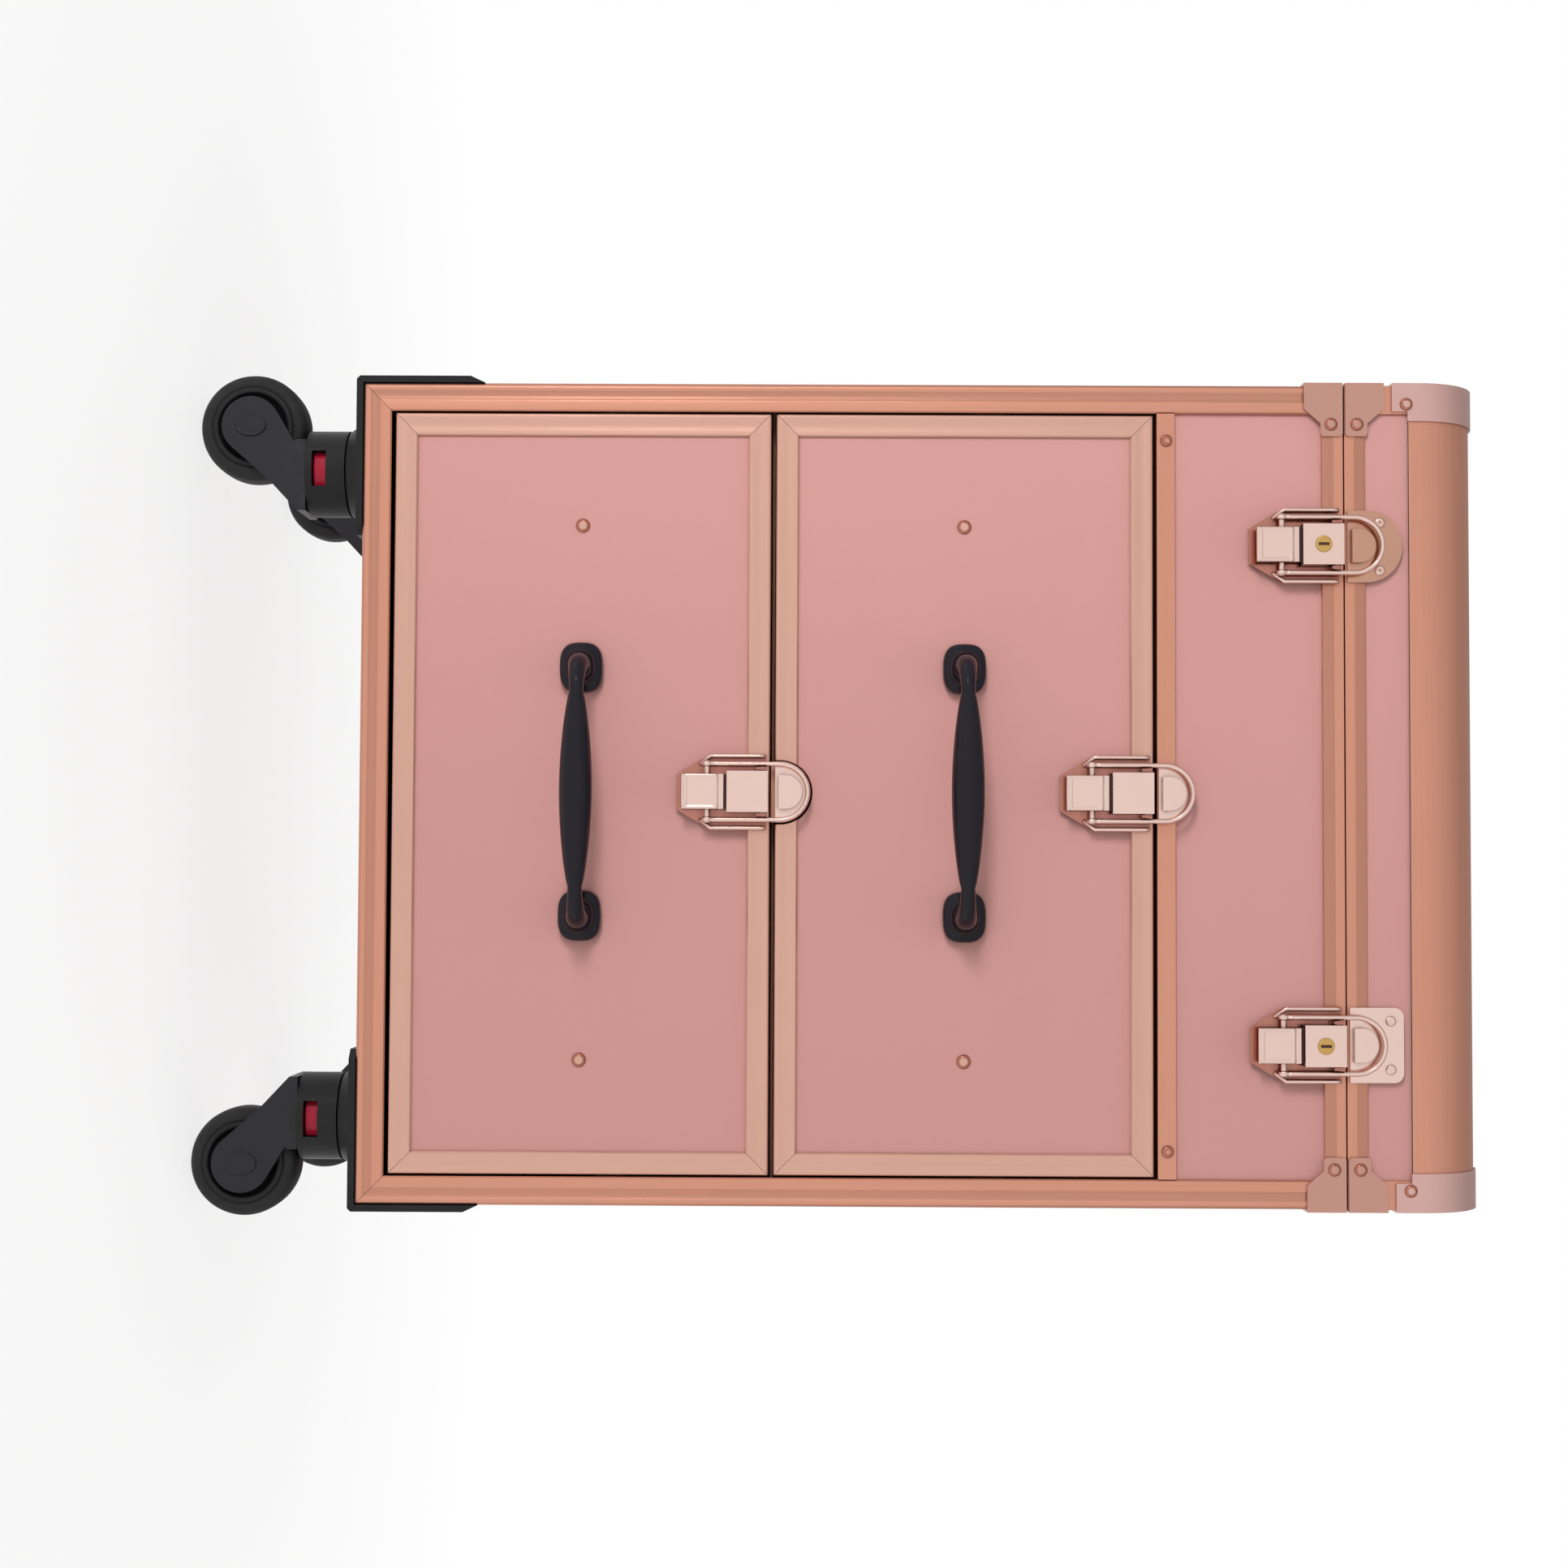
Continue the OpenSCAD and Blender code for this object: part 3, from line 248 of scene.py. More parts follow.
def crevice_group():
    """Painted shade: a mask that darkens corners and the faces under edges, found by the AO node."""
    tree, given, out = new_group("Crevice painted shade", {"Distance": 0.003, "Vector": None}, ["Mask"])
    near = add_node(tree, "ShaderNodeAmbientOcclusion", {"Distance": given["Distance"]}, samples=6)
    closed = ramp(tree, near.outputs["AO"], 0.30, 0.88, to_low=1.0, to_high=0.0)
    broken = ramp(tree, noise(tree, given["Vector"], scale=220.0, detail=3.0), 0.3, 0.7, to_low=0.75)
    feed(tree, out["Mask"], math_node(tree, "MULTIPLY", closed, broken))
    return tree


GROUP_MAKERS = {
    "Fine grain": fine_grain_group,
    "Handling smudges": smudge_group,
    "Rubbed edges": wear_group,
    "Crevice painted shade": crevice_group,
}


def place_group(tree, name, feeds):
    """A shared group in a material, made at its first use."""
    group = bpy.data.node_groups.get(name) or GROUP_MAKERS[name]()
    return add_node(tree, "ShaderNodeGroup", feeds, node_tree=group)


def tint(colour, share):
    """The colour made lighter or darker by a share of itself."""
    return tuple(min(1.0, c * (1.0 + share)) for c in colour) + (1.0,)


def mix_colour(tree, mask, low, high):
    """The result of a Mix node between two colours, each a socket or a value."""
    return add_node(tree, "ShaderNodeMix", {0: mask, 6: low, 7: high}, data_type="RGBA").outputs[2]


def mix_shader(tree, share, low, high):
    """The result of a Mix Shader node."""
    return add_node(tree, "ShaderNodeMixShader", {0: share, 1: low, 2: high}).outputs[0]


def ray_kinds(tree):
    """Two sockets that are 1 for rays from the camera, and for mirrored or refracted rays."""
    path = tree.nodes.new("ShaderNodeLightPath").outputs
    bounced = math_node(tree, "MAXIMUM", path["Is Glossy Ray"], path["Is Transmission Ray"])
    return path["Is Camera Ray"], bounced


# Finishes

COAT_ROUGHNESS = 0.25
SMUDGE_SHARE = 0.35
SMUDGE_FLOOR = 0.02
WORN_SHARE = 0.5
WORN_LIGHT = 0.16
BRUSH_ALONG = 9.0
BRUSH_ACROSS = 620.0


def surface(name, colour, roughness, grain, stretch=(1.0, 1.0, 1.0), vary=0.04, bump=0.1, depth=0.0001,
            metallic=0.0, coat=0.0, wear=0.0, specular=0.5, crevice_shade=0.0, reach=0.003):
    """A finish whose colour, gloss and relief follow a grain, with smudges, rubbed edges and painted shade in
    crevices.
    """
    mat = bpy.data.materials.get(name)
    if mat:
        return mat
    mat = bpy.data.materials.new(name)
    mat.use_nodes = True
    tree = mat.node_tree
    shader = tree.nodes["Principled BSDF"]
    plain = {"Metallic": metallic, "Coat Weight": coat, "Coat Roughness": COAT_ROUGHNESS,
             "Specular IOR Level": specular}
    for label, value in plain.items():
        shader.inputs[label].default_value = value
    place = tree.nodes.new("ShaderNodeTexCoord").outputs["Object"]
    stretched = add_node(tree, "ShaderNodeMapping", {"Vector": place, "Scale": stretch}).outputs["Vector"]
    marks = place_group(tree, "Fine grain", {"Vector": stretched, "Scale": grain})
    smudges = place_group(tree, "Handling smudges", {"Vector": place})
    base = mix_colour(tree, marks.outputs["Mask"], tint(colour, -vary), tint(colour, vary))
    if wear:
        bend = tree.nodes.new("ShaderNodeNewGeometry").outputs["Pointiness"]
        worn = place_group(tree, "Rubbed edges", {"Vector": place, "Pointiness": bend})
        share = math_node(tree, "MULTIPLY", worn.outputs["Mask"], wear)
        base = mix_colour(tree, share, base, tint([WORN_SHARE * c + WORN_LIGHT for c in colour], 0.0))
    # Painted shade: the base colour goes to the recess colour where the AO mask finds corners and faces under
    # edges.
    if crevice_shade:
        crevice_shade_node = place_group(tree, "Crevice painted shade", {"Vector": place, "Distance": reach})
        share = math_node(tree, "MULTIPLY", crevice_shade_node.outputs["Mask"], crevice_shade)
        base = mix_colour(tree, share, base, tint(finishes().recess_shade, 0.0))
    gloss = ramp(tree, marks.outputs["Mask"], 0.0, 1.0, *roughness)
    dulling = SMUDGE_SHARE * (roughness[1] - roughness[0]) + SMUDGE_FLOOR
    dulled = math_node(tree, "MULTIPLY", smudges.outputs["Mask"], dulling)
    relief = add_node(tree, "ShaderNodeBump",
                      {"Strength": bump, "Distance": depth, "Height": marks.outputs["Height"]})
    feed(tree, shader.inputs["Base Color"], base)
    feed(tree, shader.inputs["Roughness"], math_node(tree, "ADD", gloss, dulled))
    feed(tree, shader.inputs["Normal"], relief.outputs["Normal"])
    return mat


def laminate():
    return surface("Pink laminate", finishes().laminate, roughness=(0.40, 0.50), grain=1500.0, vary=0.012,
                   bump=0.12, depth=0.00008, coat=0.08, crevice_shade=0.35, reach=0.0016)


def brushed(name, colour, axis, roughness=(0.30, 0.44)):
    """Satin metal with brush marks along one axis."""
    stretch = [BRUSH_ALONG if k == axis else BRUSH_ACROSS for k in range(3)]
    return surface(name + " " + "xyz"[axis], colour, roughness, grain=1.0, stretch=stretch, vary=0.05,
                   bump=0.10, depth=0.00004, metallic=0.92, wear=0.10, crevice_shade=0.3, reach=0.002)


def polished(name, colour, reach=0.0028):
    """Bright plating with painted shade in its crevices."""
    return surface(name, colour, roughness=(0.12, 0.24), grain=900.0, vary=0.02, bump=0.03, depth=0.00003,
                   metallic=1.0, wear=0.05, crevice_shade=0.75, reach=reach)


def pressed(name, colour):
    """Satin pressed sheet without a grain direction."""
    return surface(name, colour, roughness=(0.30, 0.42), grain=1400.0, vary=0.03, bump=0.05, depth=0.00003,
                   metallic=0.9, wear=0.15, crevice_shade=0.5, reach=0.0015)


def moulded(name, colour, roughness=(0.34, 0.5), grain=2600.0, bump=0.18, specular=0.32):
    """Plastic or lacquer with a fine even grain."""
    return surface(name, colour, roughness, grain, vary=0.10, bump=bump, depth=0.00006, wear=0.08,
                   specular=specular)


def rubber():
    return surface("Tyre rubber", finishes().tyre, roughness=(0.58, 0.74), grain=1800.0, vary=0.12, bump=0.22,
                   depth=0.00008, wear=0.22)


def lining():
    return surface("Lining cloth", finishes().lining, roughness=(0.82, 0.95), grain=1.0,
                   stretch=(900.0, 420.0, 900.0), vary=0.22, bump=0.4, depth=0.0002, specular=0.25)


def plywood():
    return surface("Plywood", finishes().board, roughness=(0.5, 0.66), grain=1.0,
                   stretch=(14.0, 300.0, 300.0), vary=0.13, bump=0.16, depth=0.00012, coat=0.08)


def zinc():
    return surface("Zinc plated steel", finishes().steel, roughness=(0.26, 0.42), grain=240.0, vary=0.06,
                   bump=0.05, depth=0.00003, metallic=1.0, wear=0.08)


# Mesh helpers

MERGE = 1e-7
WELD = 2e-6
STEPS_PER_METRE = 1e5
BEND_ANGLE = math.radians(38)
LINING_REACH = 0.006
FLAT_ON = 0.9
THIN_RAIL = 0.012
SEAM_SLOPE = (0.05, 0.4)


def piece_from(name, bm, materials, body):
    """A new piece at the origin from a bmesh, riding on a body."""
    bmesh.ops.remove_doubles(bm, verts=bm.verts, dist=MERGE)
    bmesh.ops.recalc_face_normals(bm, faces=bm.faces)
    mesh = bpy.data.meshes.new(name)
    bm.to_mesh(mesh)
    bm.free()
    for mat in materials:
        mesh.materials.append(mat)
    mesh.shade_smooth()
    made = bpy.data.objects.new(name, mesh)
    bpy.context.scene.collection.objects.link(made)
    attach(made, body)
    return made


def skin(bm, rings, material=0):
    """Joins rings of equally many points with quads."""
    rows = [[bm.verts.new(p) for p in ring] for ring in rings]
    for low, high in zip(rows, rows[1:]):
        for i in range(len(low)):
            j = (i + 1) % len(low)
            bm.faces.new((low[i], low[j], high[j], high[i])).material_index = material
    return rows


def loft(bm, rings):
    """A closed form through rings of equally many points."""
    rows = skin(bm, rings)
    bm.faces.new(rows[0])
    bm.faces.new(rows[-1])


def sweep(bm, path, plane, section):
    """Carries a section along a path that lies in one plane; section(i) gives (side, plane) offsets."""
    rings = []
    for i, point in enumerate(path):
        before = path[max(i - 1, 0)]
        after = path[min(i + 1, len(path) - 1)]
        side = plane.cross((after - before).normalized())
        rings.append([point + side * u + plane * v for u, v in section(i)])
    loft(bm, rings)


def ellipse(a, b, count):
    turns = [2.0 * math.pi * i / count for i in range(count)]
    return [(a * math.cos(t), b * math.sin(t)) for t in turns]


def rounded_rectangle(w, h, r, steps=5):
    """Outline of a rectangle with round corners, centred on the origin."""
    points = []
    for quarter, (sx, sy) in enumerate(((1, 1), (-1, 1), (-1, -1), (1, -1))):
        for i in range(steps + 1):
            t = math.pi / 2.0 * (quarter + i / steps)
            points.append((sx * (w / 2.0 - r) + r * math.cos(t), sy * (h / 2.0 - r) + r * math.sin(t)))
    return points


def revolve(bm, profile, centre, axis, count, material=0):
    """Turns (radius, along) points about an axis through a centre."""
    across = axis.orthogonal().normalized()
    other = axis.cross(across)
    rings = []
    for radius, along in profile:
        middle = centre + axis * along
        rings.append([middle + across * u + other * v for u, v in ellipse(radius, radius, count)])
    skin(bm, rings, material)


def solids_of(node):
    """Polygon numbers of each separate solid of a CAD node."""
    mesh = NODES[node].data
    seen = {}
    corner = []
    for vertex in mesh.vertices:
        key = tuple(round(c * STEPS_PER_METRE) for c in vertex.co)
        corner.append(seen.setdefault(key, len(seen)))
    parent = list(range(len(seen)))

    def root(i):
        while parent[i] != i:
            parent[i] = parent[parent[i]]
            i = parent[i]
        return i

    for polygon in mesh.polygons:
        first = root(corner[polygon.vertices[0]])
        for v in polygon.vertices[1:]:
            parent[root(corner[v])] = first
    groups = {}
    for polygon in mesh.polygons:
        groups.setdefault(root(corner[polygon.vertices[0]]), []).append(polygon.index)
    return list(groups.values())


def extent(node, polygons):
    """Lowest and highest corner of some polygons of a CAD node."""
    mesh = NODES[node].data
    points = [mesh.vertices[v].co for p in polygons for v in mesh.polygons[p].vertices]
    low = Vector([min(p[k] for p in points) for k in range(3)])
    high = Vector([max(p[k] for p in points) for k in range(3)])
    return low, high


def dress(node, *materials, edge=None, segments=2):
    """Gives a CAD node its finishes and broken edges; its own mesh keeps its points."""
    shown = NODES[node]
    shown.data.materials.clear()
    for mat in materials:
        shown.data.materials.append(mat)
    shown.data.shade_smooth()
    weld = shown.modifiers.new("Weld", "WELD")
    weld.merge_threshold = WELD
    if edge:
        bevel = shown.modifiers.new("Edges", "BEVEL")
        bevel.width = edge
        bevel.segments = segments
        bevel.limit_method = "ANGLE"
        bevel.angle_limit = BEND_ANGLE
        bevel.harden_normals = True
        bevel.use_clamp_overlap = True
    weighted = shown.modifiers.new("Normals", "WEIGHTED_NORMAL")
    weighted.keep_sharp = True
    return shown


def paint(node, polygons, index):
    for p in polygons:
        NODES[node].data.polygons[p].material_index = index


def dress_along_grain(node, name, colour, edge, slope_shade=None):
    """A CAD node of rails, each brushed along its length; faces that slope away from the seam take a darker
    copy as painted shade.
    """
    mats = [brushed(name, colour, axis) for axis in range(3)]
    if slope_shade:
        mats += [brushed(name + " deep", slope_shade, axis) for axis in range(2)]
    shown = dress(node, *mats, edge=edge)
    for group in solids_of(node):
        low, high = extent(node, group)
        span = high - low
        longest = max(range(3), key=lambda k: span[k])
        paint(node, group, longest)
        # Painted shade: the sloped faces of the thin rims at the seam get the darker copy of the finish.
        if slope_shade and longest < 2 and span.z < THIN_RAIL:
            slopes = {p: abs(shown.data.polygons[p].normal.z) for p in group}
            paint(node, [p for p in group if SEAM_SLOPE[0] < slopes[p] < SEAM_SLOPE[1]], 3 + longest)
    return shown


def line_inside(node, inside):
    """The second finish goes on each face of a node that looks into the space given by two corners."""
    mesh = NODES[node].data
    low, high = inside
    middle = (low + high) / 2.0
    for polygon in mesh.polygons:
        c = polygon.center
        within = all(low[k] - LINING_REACH <= c[k] <= high[k] + LINING_REACH for k in range(3))
        toward = (middle - c).dot(polygon.normal) > 0.0
        if within and toward:
            polygon.material_index = 1


def line_panels(node, inside):
    """The second finish goes on the inner face of each panel of a node, as seen from the space given."""
    mesh = NODES[node].data
    middle = (inside[0] + inside[1]) / 2.0
    for group in solids_of(node):
        low, high = extent(node, group)
        thin = min(range(3), key=lambda k: high[k] - low[k])
        for p in group:
            polygon = mesh.polygons[p]
            facing = polygon.normal[thin]
            inward = facing * (middle[thin] - polygon.center[thin]) > 0.0
            if inward and abs(facing) > FLAT_ON:
                polygon.material_index = 1


def opening(name):
    """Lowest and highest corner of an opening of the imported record."""
    for box in frame["record"]["physics"]["openings"]:
        if box["name"] == name:
            return Vector(box["box_m"][0]), Vector(box["box_m"][1])
    raise RuntimeError("the record has no opening named " + name)


class CASE_OT_panels(bpy.types.Operator):
    """Laminate on the panels, cloth on their inner faces, boards and rails inside"""

    bl_idname = "makeup_case.panels"
    bl_label = "Panels and boards"

    def execute(self, context):
        edge = sizes().edge
        panels = ("side_panels", "back_panel", "base_panel", "compartment_front_panel", "compartment_floor")
        for node in panels:
            dress(node, laminate(), lining(), edge=edge)
            line_panels(node, opening("top_compartment_inside"))
        dress("lid_panels", laminate(), lining(), edge=edge)
        line_panels("lid_panels", opening("lid_inside"))
        dress("drawer_rails", plywood(), edge=edge)
        dress("drawer_divider", moulded("Divider lacquer", finishes().divider), edge=edge)
        for level in DRAWERS:
            dress(level + "_drawer_panel", laminate(), edge=edge)
            dress(level + "_drawer_box", plywood(), lining(), edge=edge)
            line_inside(level + "_drawer_box", opening(level + "_drawer_inside"))
        return {"FINISHED"}


# Shares of the profile colour for painted shade on the sloped rims and in the flutes.
SLOPE_SHADE_SHARE = 0.78
FLUTE_SHADE_SHARE = 0.84
FLUTE_FACING = -0.6
FLUTE_DEPTH = (0.00025, 0.0009)
CAP_HEIGHT = 0.045


def line_edging(shown):
    """Cloth on the hollow side of the rounded edging."""
    low, high = opening("lid_inside")
    middle = (low + high) / 2.0
    shown.data.materials.append(lining())
    for polygon in shown.data.polygons:
        if polygon.center.z > middle.z and (middle - polygon.center).dot(polygon.normal) > 0.0:
            polygon.material_index = len(shown.data.materials) - 1


def darken_flutes(shown, colours):
    """The hollow faces of the front frame take a darker copy of the profile than its lips: painted shade."""
    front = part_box("edge_profiles")[0].y
    flute_shade = [FLUTE_SHADE_SHARE * c for c in colours.profile]
    for axis in range(3):
        shown.data.materials.append(brushed("Rose flute shade", flute_shade, axis))
    for polygon in shown.data.polygons:
        sunk = polygon.center.y - front
        if polygon.normal.y < FLUTE_FACING and FLUTE_DEPTH[0] < sunk < FLUTE_DEPTH[1]:
            polygon.material_index += 3


class CASE_OT_profiles(bpy.types.Operator):
    """Brushed frame, edging and drawer frames, pressed brackets and caps"""

    bl_idname = "makeup_case.profiles"
    bl_label = "Profiles and brackets"

    def execute(self, context):
        colours = finishes()
        edge = sizes().edge
        # A darker copy of the profile finish for the rims' sloped faces: painted shade.
        slope_shade = [SLOPE_SHADE_SHARE * c for c in colours.profile]
        darken_flutes(dress_along_grain("front_frame", "Rose profile", colours.profile, edge), colours)
        dress_along_grain("edge_profiles", "Rose profile", colours.profile, edge, slope_shade)
        line_edging(dress_along_grain("lid_profiles", "Rose profile", colours.profile, edge, slope_shade))
        for level in DRAWERS:
            dress_along_grain(level + "_drawer_frame", "Drawer profile", colours.drawer_profile, edge)
        bracket = pressed("Pressed bracket", colours.bracket)
        dress("carcass_corner_brackets", bracket, edge=edge)
        dress("lid_corners", bracket, pressed("Pressed cap", colours.cap), edge=edge)
        cap_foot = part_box("lid_profiles")[1].z - CAP_HEIGHT
        for group in solids_of("lid_corners"):
            paint("lid_corners", group, 1 if extent("lid_corners", group)[0].z > cap_foot else 0)
        return {"FINISHED"}


STRAIGHT_STEPS = 36
BEND_STEPS = 12
GRIP_STEPS = 40
PULL_POINTS = 32
GRIP_SWELL = 0.75
HORN_SQUARE = 0.9
# Foot of a pull: share of the way from the panel to the neck, and share of the footprint that is left
HORN = (
    (0.0, 1.0), (0.10, 1.0), (0.13, 0.985), (0.155, 0.95), (0.175, 0.89), (0.19, 0.80), (0.205, 0.67),
    (0.225, 0.54), (0.27, 0.44), (0.36, 0.35), (0.50, 0.25), (0.66, 0.14), (0.84, 0.04), (1.0, 0.0))


def turned_pull(level, lacquer):
    """One drawer pull, a section carried along its bent axis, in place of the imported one."""
    size = sizes()
    node = level + "_drawer_pull"
    low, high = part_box(node)
    z = (low.z + high.z) / 2.0
    wall = high.y
    axis_y = low.y + size.grip_radius
    foot_x = high.x - size.foot_length / 2.0
    bend = size.pull_bend
    half = foot_x - bend
    rise = wall - axis_y - bend
    arc = math.pi / 2.0 * bend
    path = [Vector((-foot_x, wall - rise * i / STRAIGHT_STEPS, z)) for i in range(STRAIGHT_STEPS + 1)]
    for i in range(1, BEND_STEPS + 1):
        t = math.pi / 2.0 * i / BEND_STEPS
        turned = Vector((1.0 - math.cos(t), 1.0 - math.sin(t), 0.0))
        path.append(Vector((-foot_x, axis_y, z)) + turned * bend)
    foot_steps = len(path)
    for i in range(1, GRIP_STEPS):
        path.append(Vector((-half + 2.0 * half * i / GRIP_STEPS, axis_y, z)))
    path += [Vector((-p.x, p.y, p.z)) for p in reversed(path[:foot_steps])]
    foot_half = (size.foot_length / 2.0, (high.z - low.z) / 2.0)
    last = len(path) - 1

    def section(i):
        step = min(i, last - i)
        if step >= foot_steps - 1:
            share = min(abs(path[i].x) / half, 1.0)
            swell = math.cos(math.pi / 2.0 * share) ** GRIP_SWELL
            r = size.neck_radius + (size.grip_radius - size.neck_radius) * swell
            return ellipse(r, r, PULL_POINTS)
        along = rise * min(step, STRAIGHT_STEPS) / STRAIGHT_STEPS
        along += arc * max(step - STRAIGHT_STEPS, 0) / BEND_STEPS
        return horn_section(along / (rise + arc), foot_half)

    bm = bmesh.new()
    sweep(bm, path, UP, section)
    made = piece_from(level + "_turned_pull", bm, [lacquer], level + "_drawer")
    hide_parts(node)


def horn_section(along, foot_half):
    """Section of a foot, from its rounded footprint at the panel to the thin neck."""
    share = 0.0
    for (low, start), (high, end) in zip(HORN, HORN[1:]):
        if along <= high:
            share = start + (end - start) * (along - low) / (high - low)
            break
    neck = sizes().neck_radius
    a, b = [neck + (reach - neck) * share for reach in foot_half]
    power = 2.0 / (2.0 + HORN_SQUARE * share)
    points = []
    for u, v in ellipse(1.0, 1.0, PULL_POINTS):
        points.append((math.copysign(abs(u) ** power, u) * a, math.copysign(abs(v) ** power, v) * b))
    return points


class CASE_OT_pulls(bpy.types.Operator):
    """Turned drawer pulls on horn shaped feet"""

    bl_idname = "makeup_case.pulls"
    bl_label = "Drawer pulls"

    def execute(self, context):
        lacquer = moulded("Black lacquer", finishes().pull, roughness=(0.10, 0.17), grain=1400.0, bump=0.03,
                          specular=0.24)
        for level in DRAWERS:
            turned_pull(level, lacquer)
        return {"FINISHED"}


# Latches: shares of the broken edge, and small forms in metres

PLATE_EDGE = 0.9
LOCK_EDGE = 0.5
LEVER_EDGE = 1.2
LEVER_GROOVE = (0.0172, 0.0189)
GROOVE_SINK = 0.0012
KEYWAY = (0.00112, 0.0042, 0.0005)
KEYWAY_RINGS = ((1.0, 0.0006), (1.0, 0.0003), (0.8, 0.00025))
WIRE_SIDE = 0.00105
WIRE_DEEP = 0.0012
WIRE_POINTS = 16
ARM_STEPS = 8
TURN_STEPS = 24
EYE_RADIUS = 0.0023
EYE_BORE = 0.0014
EYE_EDGE = 0.0004
EYE_SET_BACK = 0.0006
EYE_POINTS = 24
TAB_HALF = 0.0072
TAB_LENGTH = 0.0152
TAB_OVERHANG = 0.0001
TAB_SINK = 0.0014
TAB_THICK = 0.0012
TAB_RIM = 0.0007
TAB_RIM_POWER = 6
TAB_DISH = 0.0003
TAB_STEPS = 14
LATCH_HALF = 0.0155
BEAD_RADIUS = 0.0009
BEAD_INSET = 0.0006
BEAD_STAND = 0.003
BEAD_LENGTH = 0.0225
BEAD_STEPS = 10
BEAD_POINTS = 12
BEAD_TAIL = (0.0012, 0.0007, 0.0016)
TAIL_STEPS = 3


def keyway_floor(side, recess_shade_finish):
    """A dark sheet sunk in a lock core's keyway: painted shade for its deep slot."""
    low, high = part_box(side + "_lock_core")
    middle = (low + high) / 2.0
    rings = []
    for share, sink in KEYWAY_RINGS:
        ring = []
        for u, v in rounded_rectangle(*KEYWAY):
            ring.append(Vector((middle.x + u * share, low.y + sink, middle.z + v * share)))
        rings.append(ring)
    bm = bmesh.new()
    loft(bm, rings)
    piece_from(side + "_keyway", bm, [recess_shade_finish], side + "_lock")


def wire_loop(latch, metal):
    """The wire of one loop with its two eyes."""
    node = latch + "_loop"
    low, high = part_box(node)
    x0 = (low.x + high.x) / 2.0
    wide = WIRE_SIDE
    arm = (high.x - low.x) / 2.0 - wide
    bottom = low.z + EYE_RADIUS
    turn_z = high.z - arm - wide
    pin_y = low.y + EYE_RADIUS
    y = pin_y - EYE_SET_BACK
    heights = [bottom + (turn_z - bottom) * i / ARM_STEPS for i in range(ARM_STEPS + 1)]
    path = [Vector((x0 - arm, y, z)) for z in heights]
    for i in range(1, TURN_STEPS):
        t = math.pi * i / TURN_STEPS
        path.append(Vector((x0 - arm * math.cos(t), y, turn_z + arm * math.sin(t))))
    path += [Vector((x0 + arm, y, z)) for z in reversed(heights)]
    bm = bmesh.new()
    sweep(bm, path, FRONT, lambda i: ellipse(wide, WIRE_DEEP, WIRE_POINTS))
    rim = EYE_RADIUS - EYE_EDGE
    side = wide - EYE_EDGE
    profile = [(EYE_BORE, -wide), (rim, -wide), (EYE_RADIUS, -side), (EYE_RADIUS, side), (rim, wide),
               (EYE_BORE, wide), (EYE_BORE, -wide)]
    for s in (-1.0, 1.0):
        revolve(bm, profile, Vector((x0 + s * arm, pin_y, bottom)), RIGHT, EYE_POINTS)
    made = piece_from(latch + "_wire_loop", bm, [metal], latch + "_loop")
    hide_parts(node)


def finger_plate(latch, metal):
    """A dished finger plate with a turned up rim that lies on the lever's tab."""
    low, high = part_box(latch + "_lever")
    x0 = (low.x + high.x) / 2.0
    face_y = low.y + TAB_SINK
    rings = []
    for j in range(TAB_STEPS + 1):
        v = j / TAB_STEPS
        z = low.z - TAB_OVERHANG + v * TAB_LENGTH
        face = []
        for i in range(TAB_STEPS + 1):
            u = 2.0 * i / TAB_STEPS - 1.0
            rim = max(abs(u), abs(2.0 * v - 1.0)) ** TAB_RIM_POWER
            lift = TAB_RIM * rim - TAB_DISH * (1.0 - u * u)
            face.append(Vector((x0 + u * TAB_HALF, face_y - lift, z)))
        rings.append(face + [Vector((p.x, face_y + TAB_THICK, z)) for p in reversed(face)])
    bm = bmesh.new()
    loft(bm, rings)
    piece_from(latch + "_finger_plate", bm, [metal], latch + "_lever")


def rim_beads(metal):
    """Rolled beads along the side rims of the latch bases."""
    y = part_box("edge_profiles")[0].y - BEAD_STAND
    half = LATCH_HALF - BEAD_INSET
    inward, back, down = BEAD_TAIL
    for latch, body in LATCHES.items():
        low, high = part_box(latch + "_lever")
        x0 = (low.x + high.x) / 2.0
        base = "lid_latch_bases" if body == "carcass" else latch + "_base"
        top_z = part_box(base)[1].z - BEAD_INSET
        drops = [BEAD_LENGTH * i / BEAD_STEPS for i in range(BEAD_STEPS + 1)]
        bm = bmesh.new()
        for s in (-1.0, 1.0):
            path = [Vector((x0 + s * half, y, top_z - drop)) for drop in drops]
            foot = path[-1]
            for i in range(1, TAIL_STEPS + 1):
                path.append(foot + Vector((-s * inward * i, back * i * i / TAIL_STEPS, -down * i)))
            sweep(bm, path, FRONT, lambda i: ellipse(BEAD_RADIUS, BEAD_RADIUS, BEAD_POINTS))
        piece_from(latch + "_rim_beads", bm, [metal], body)


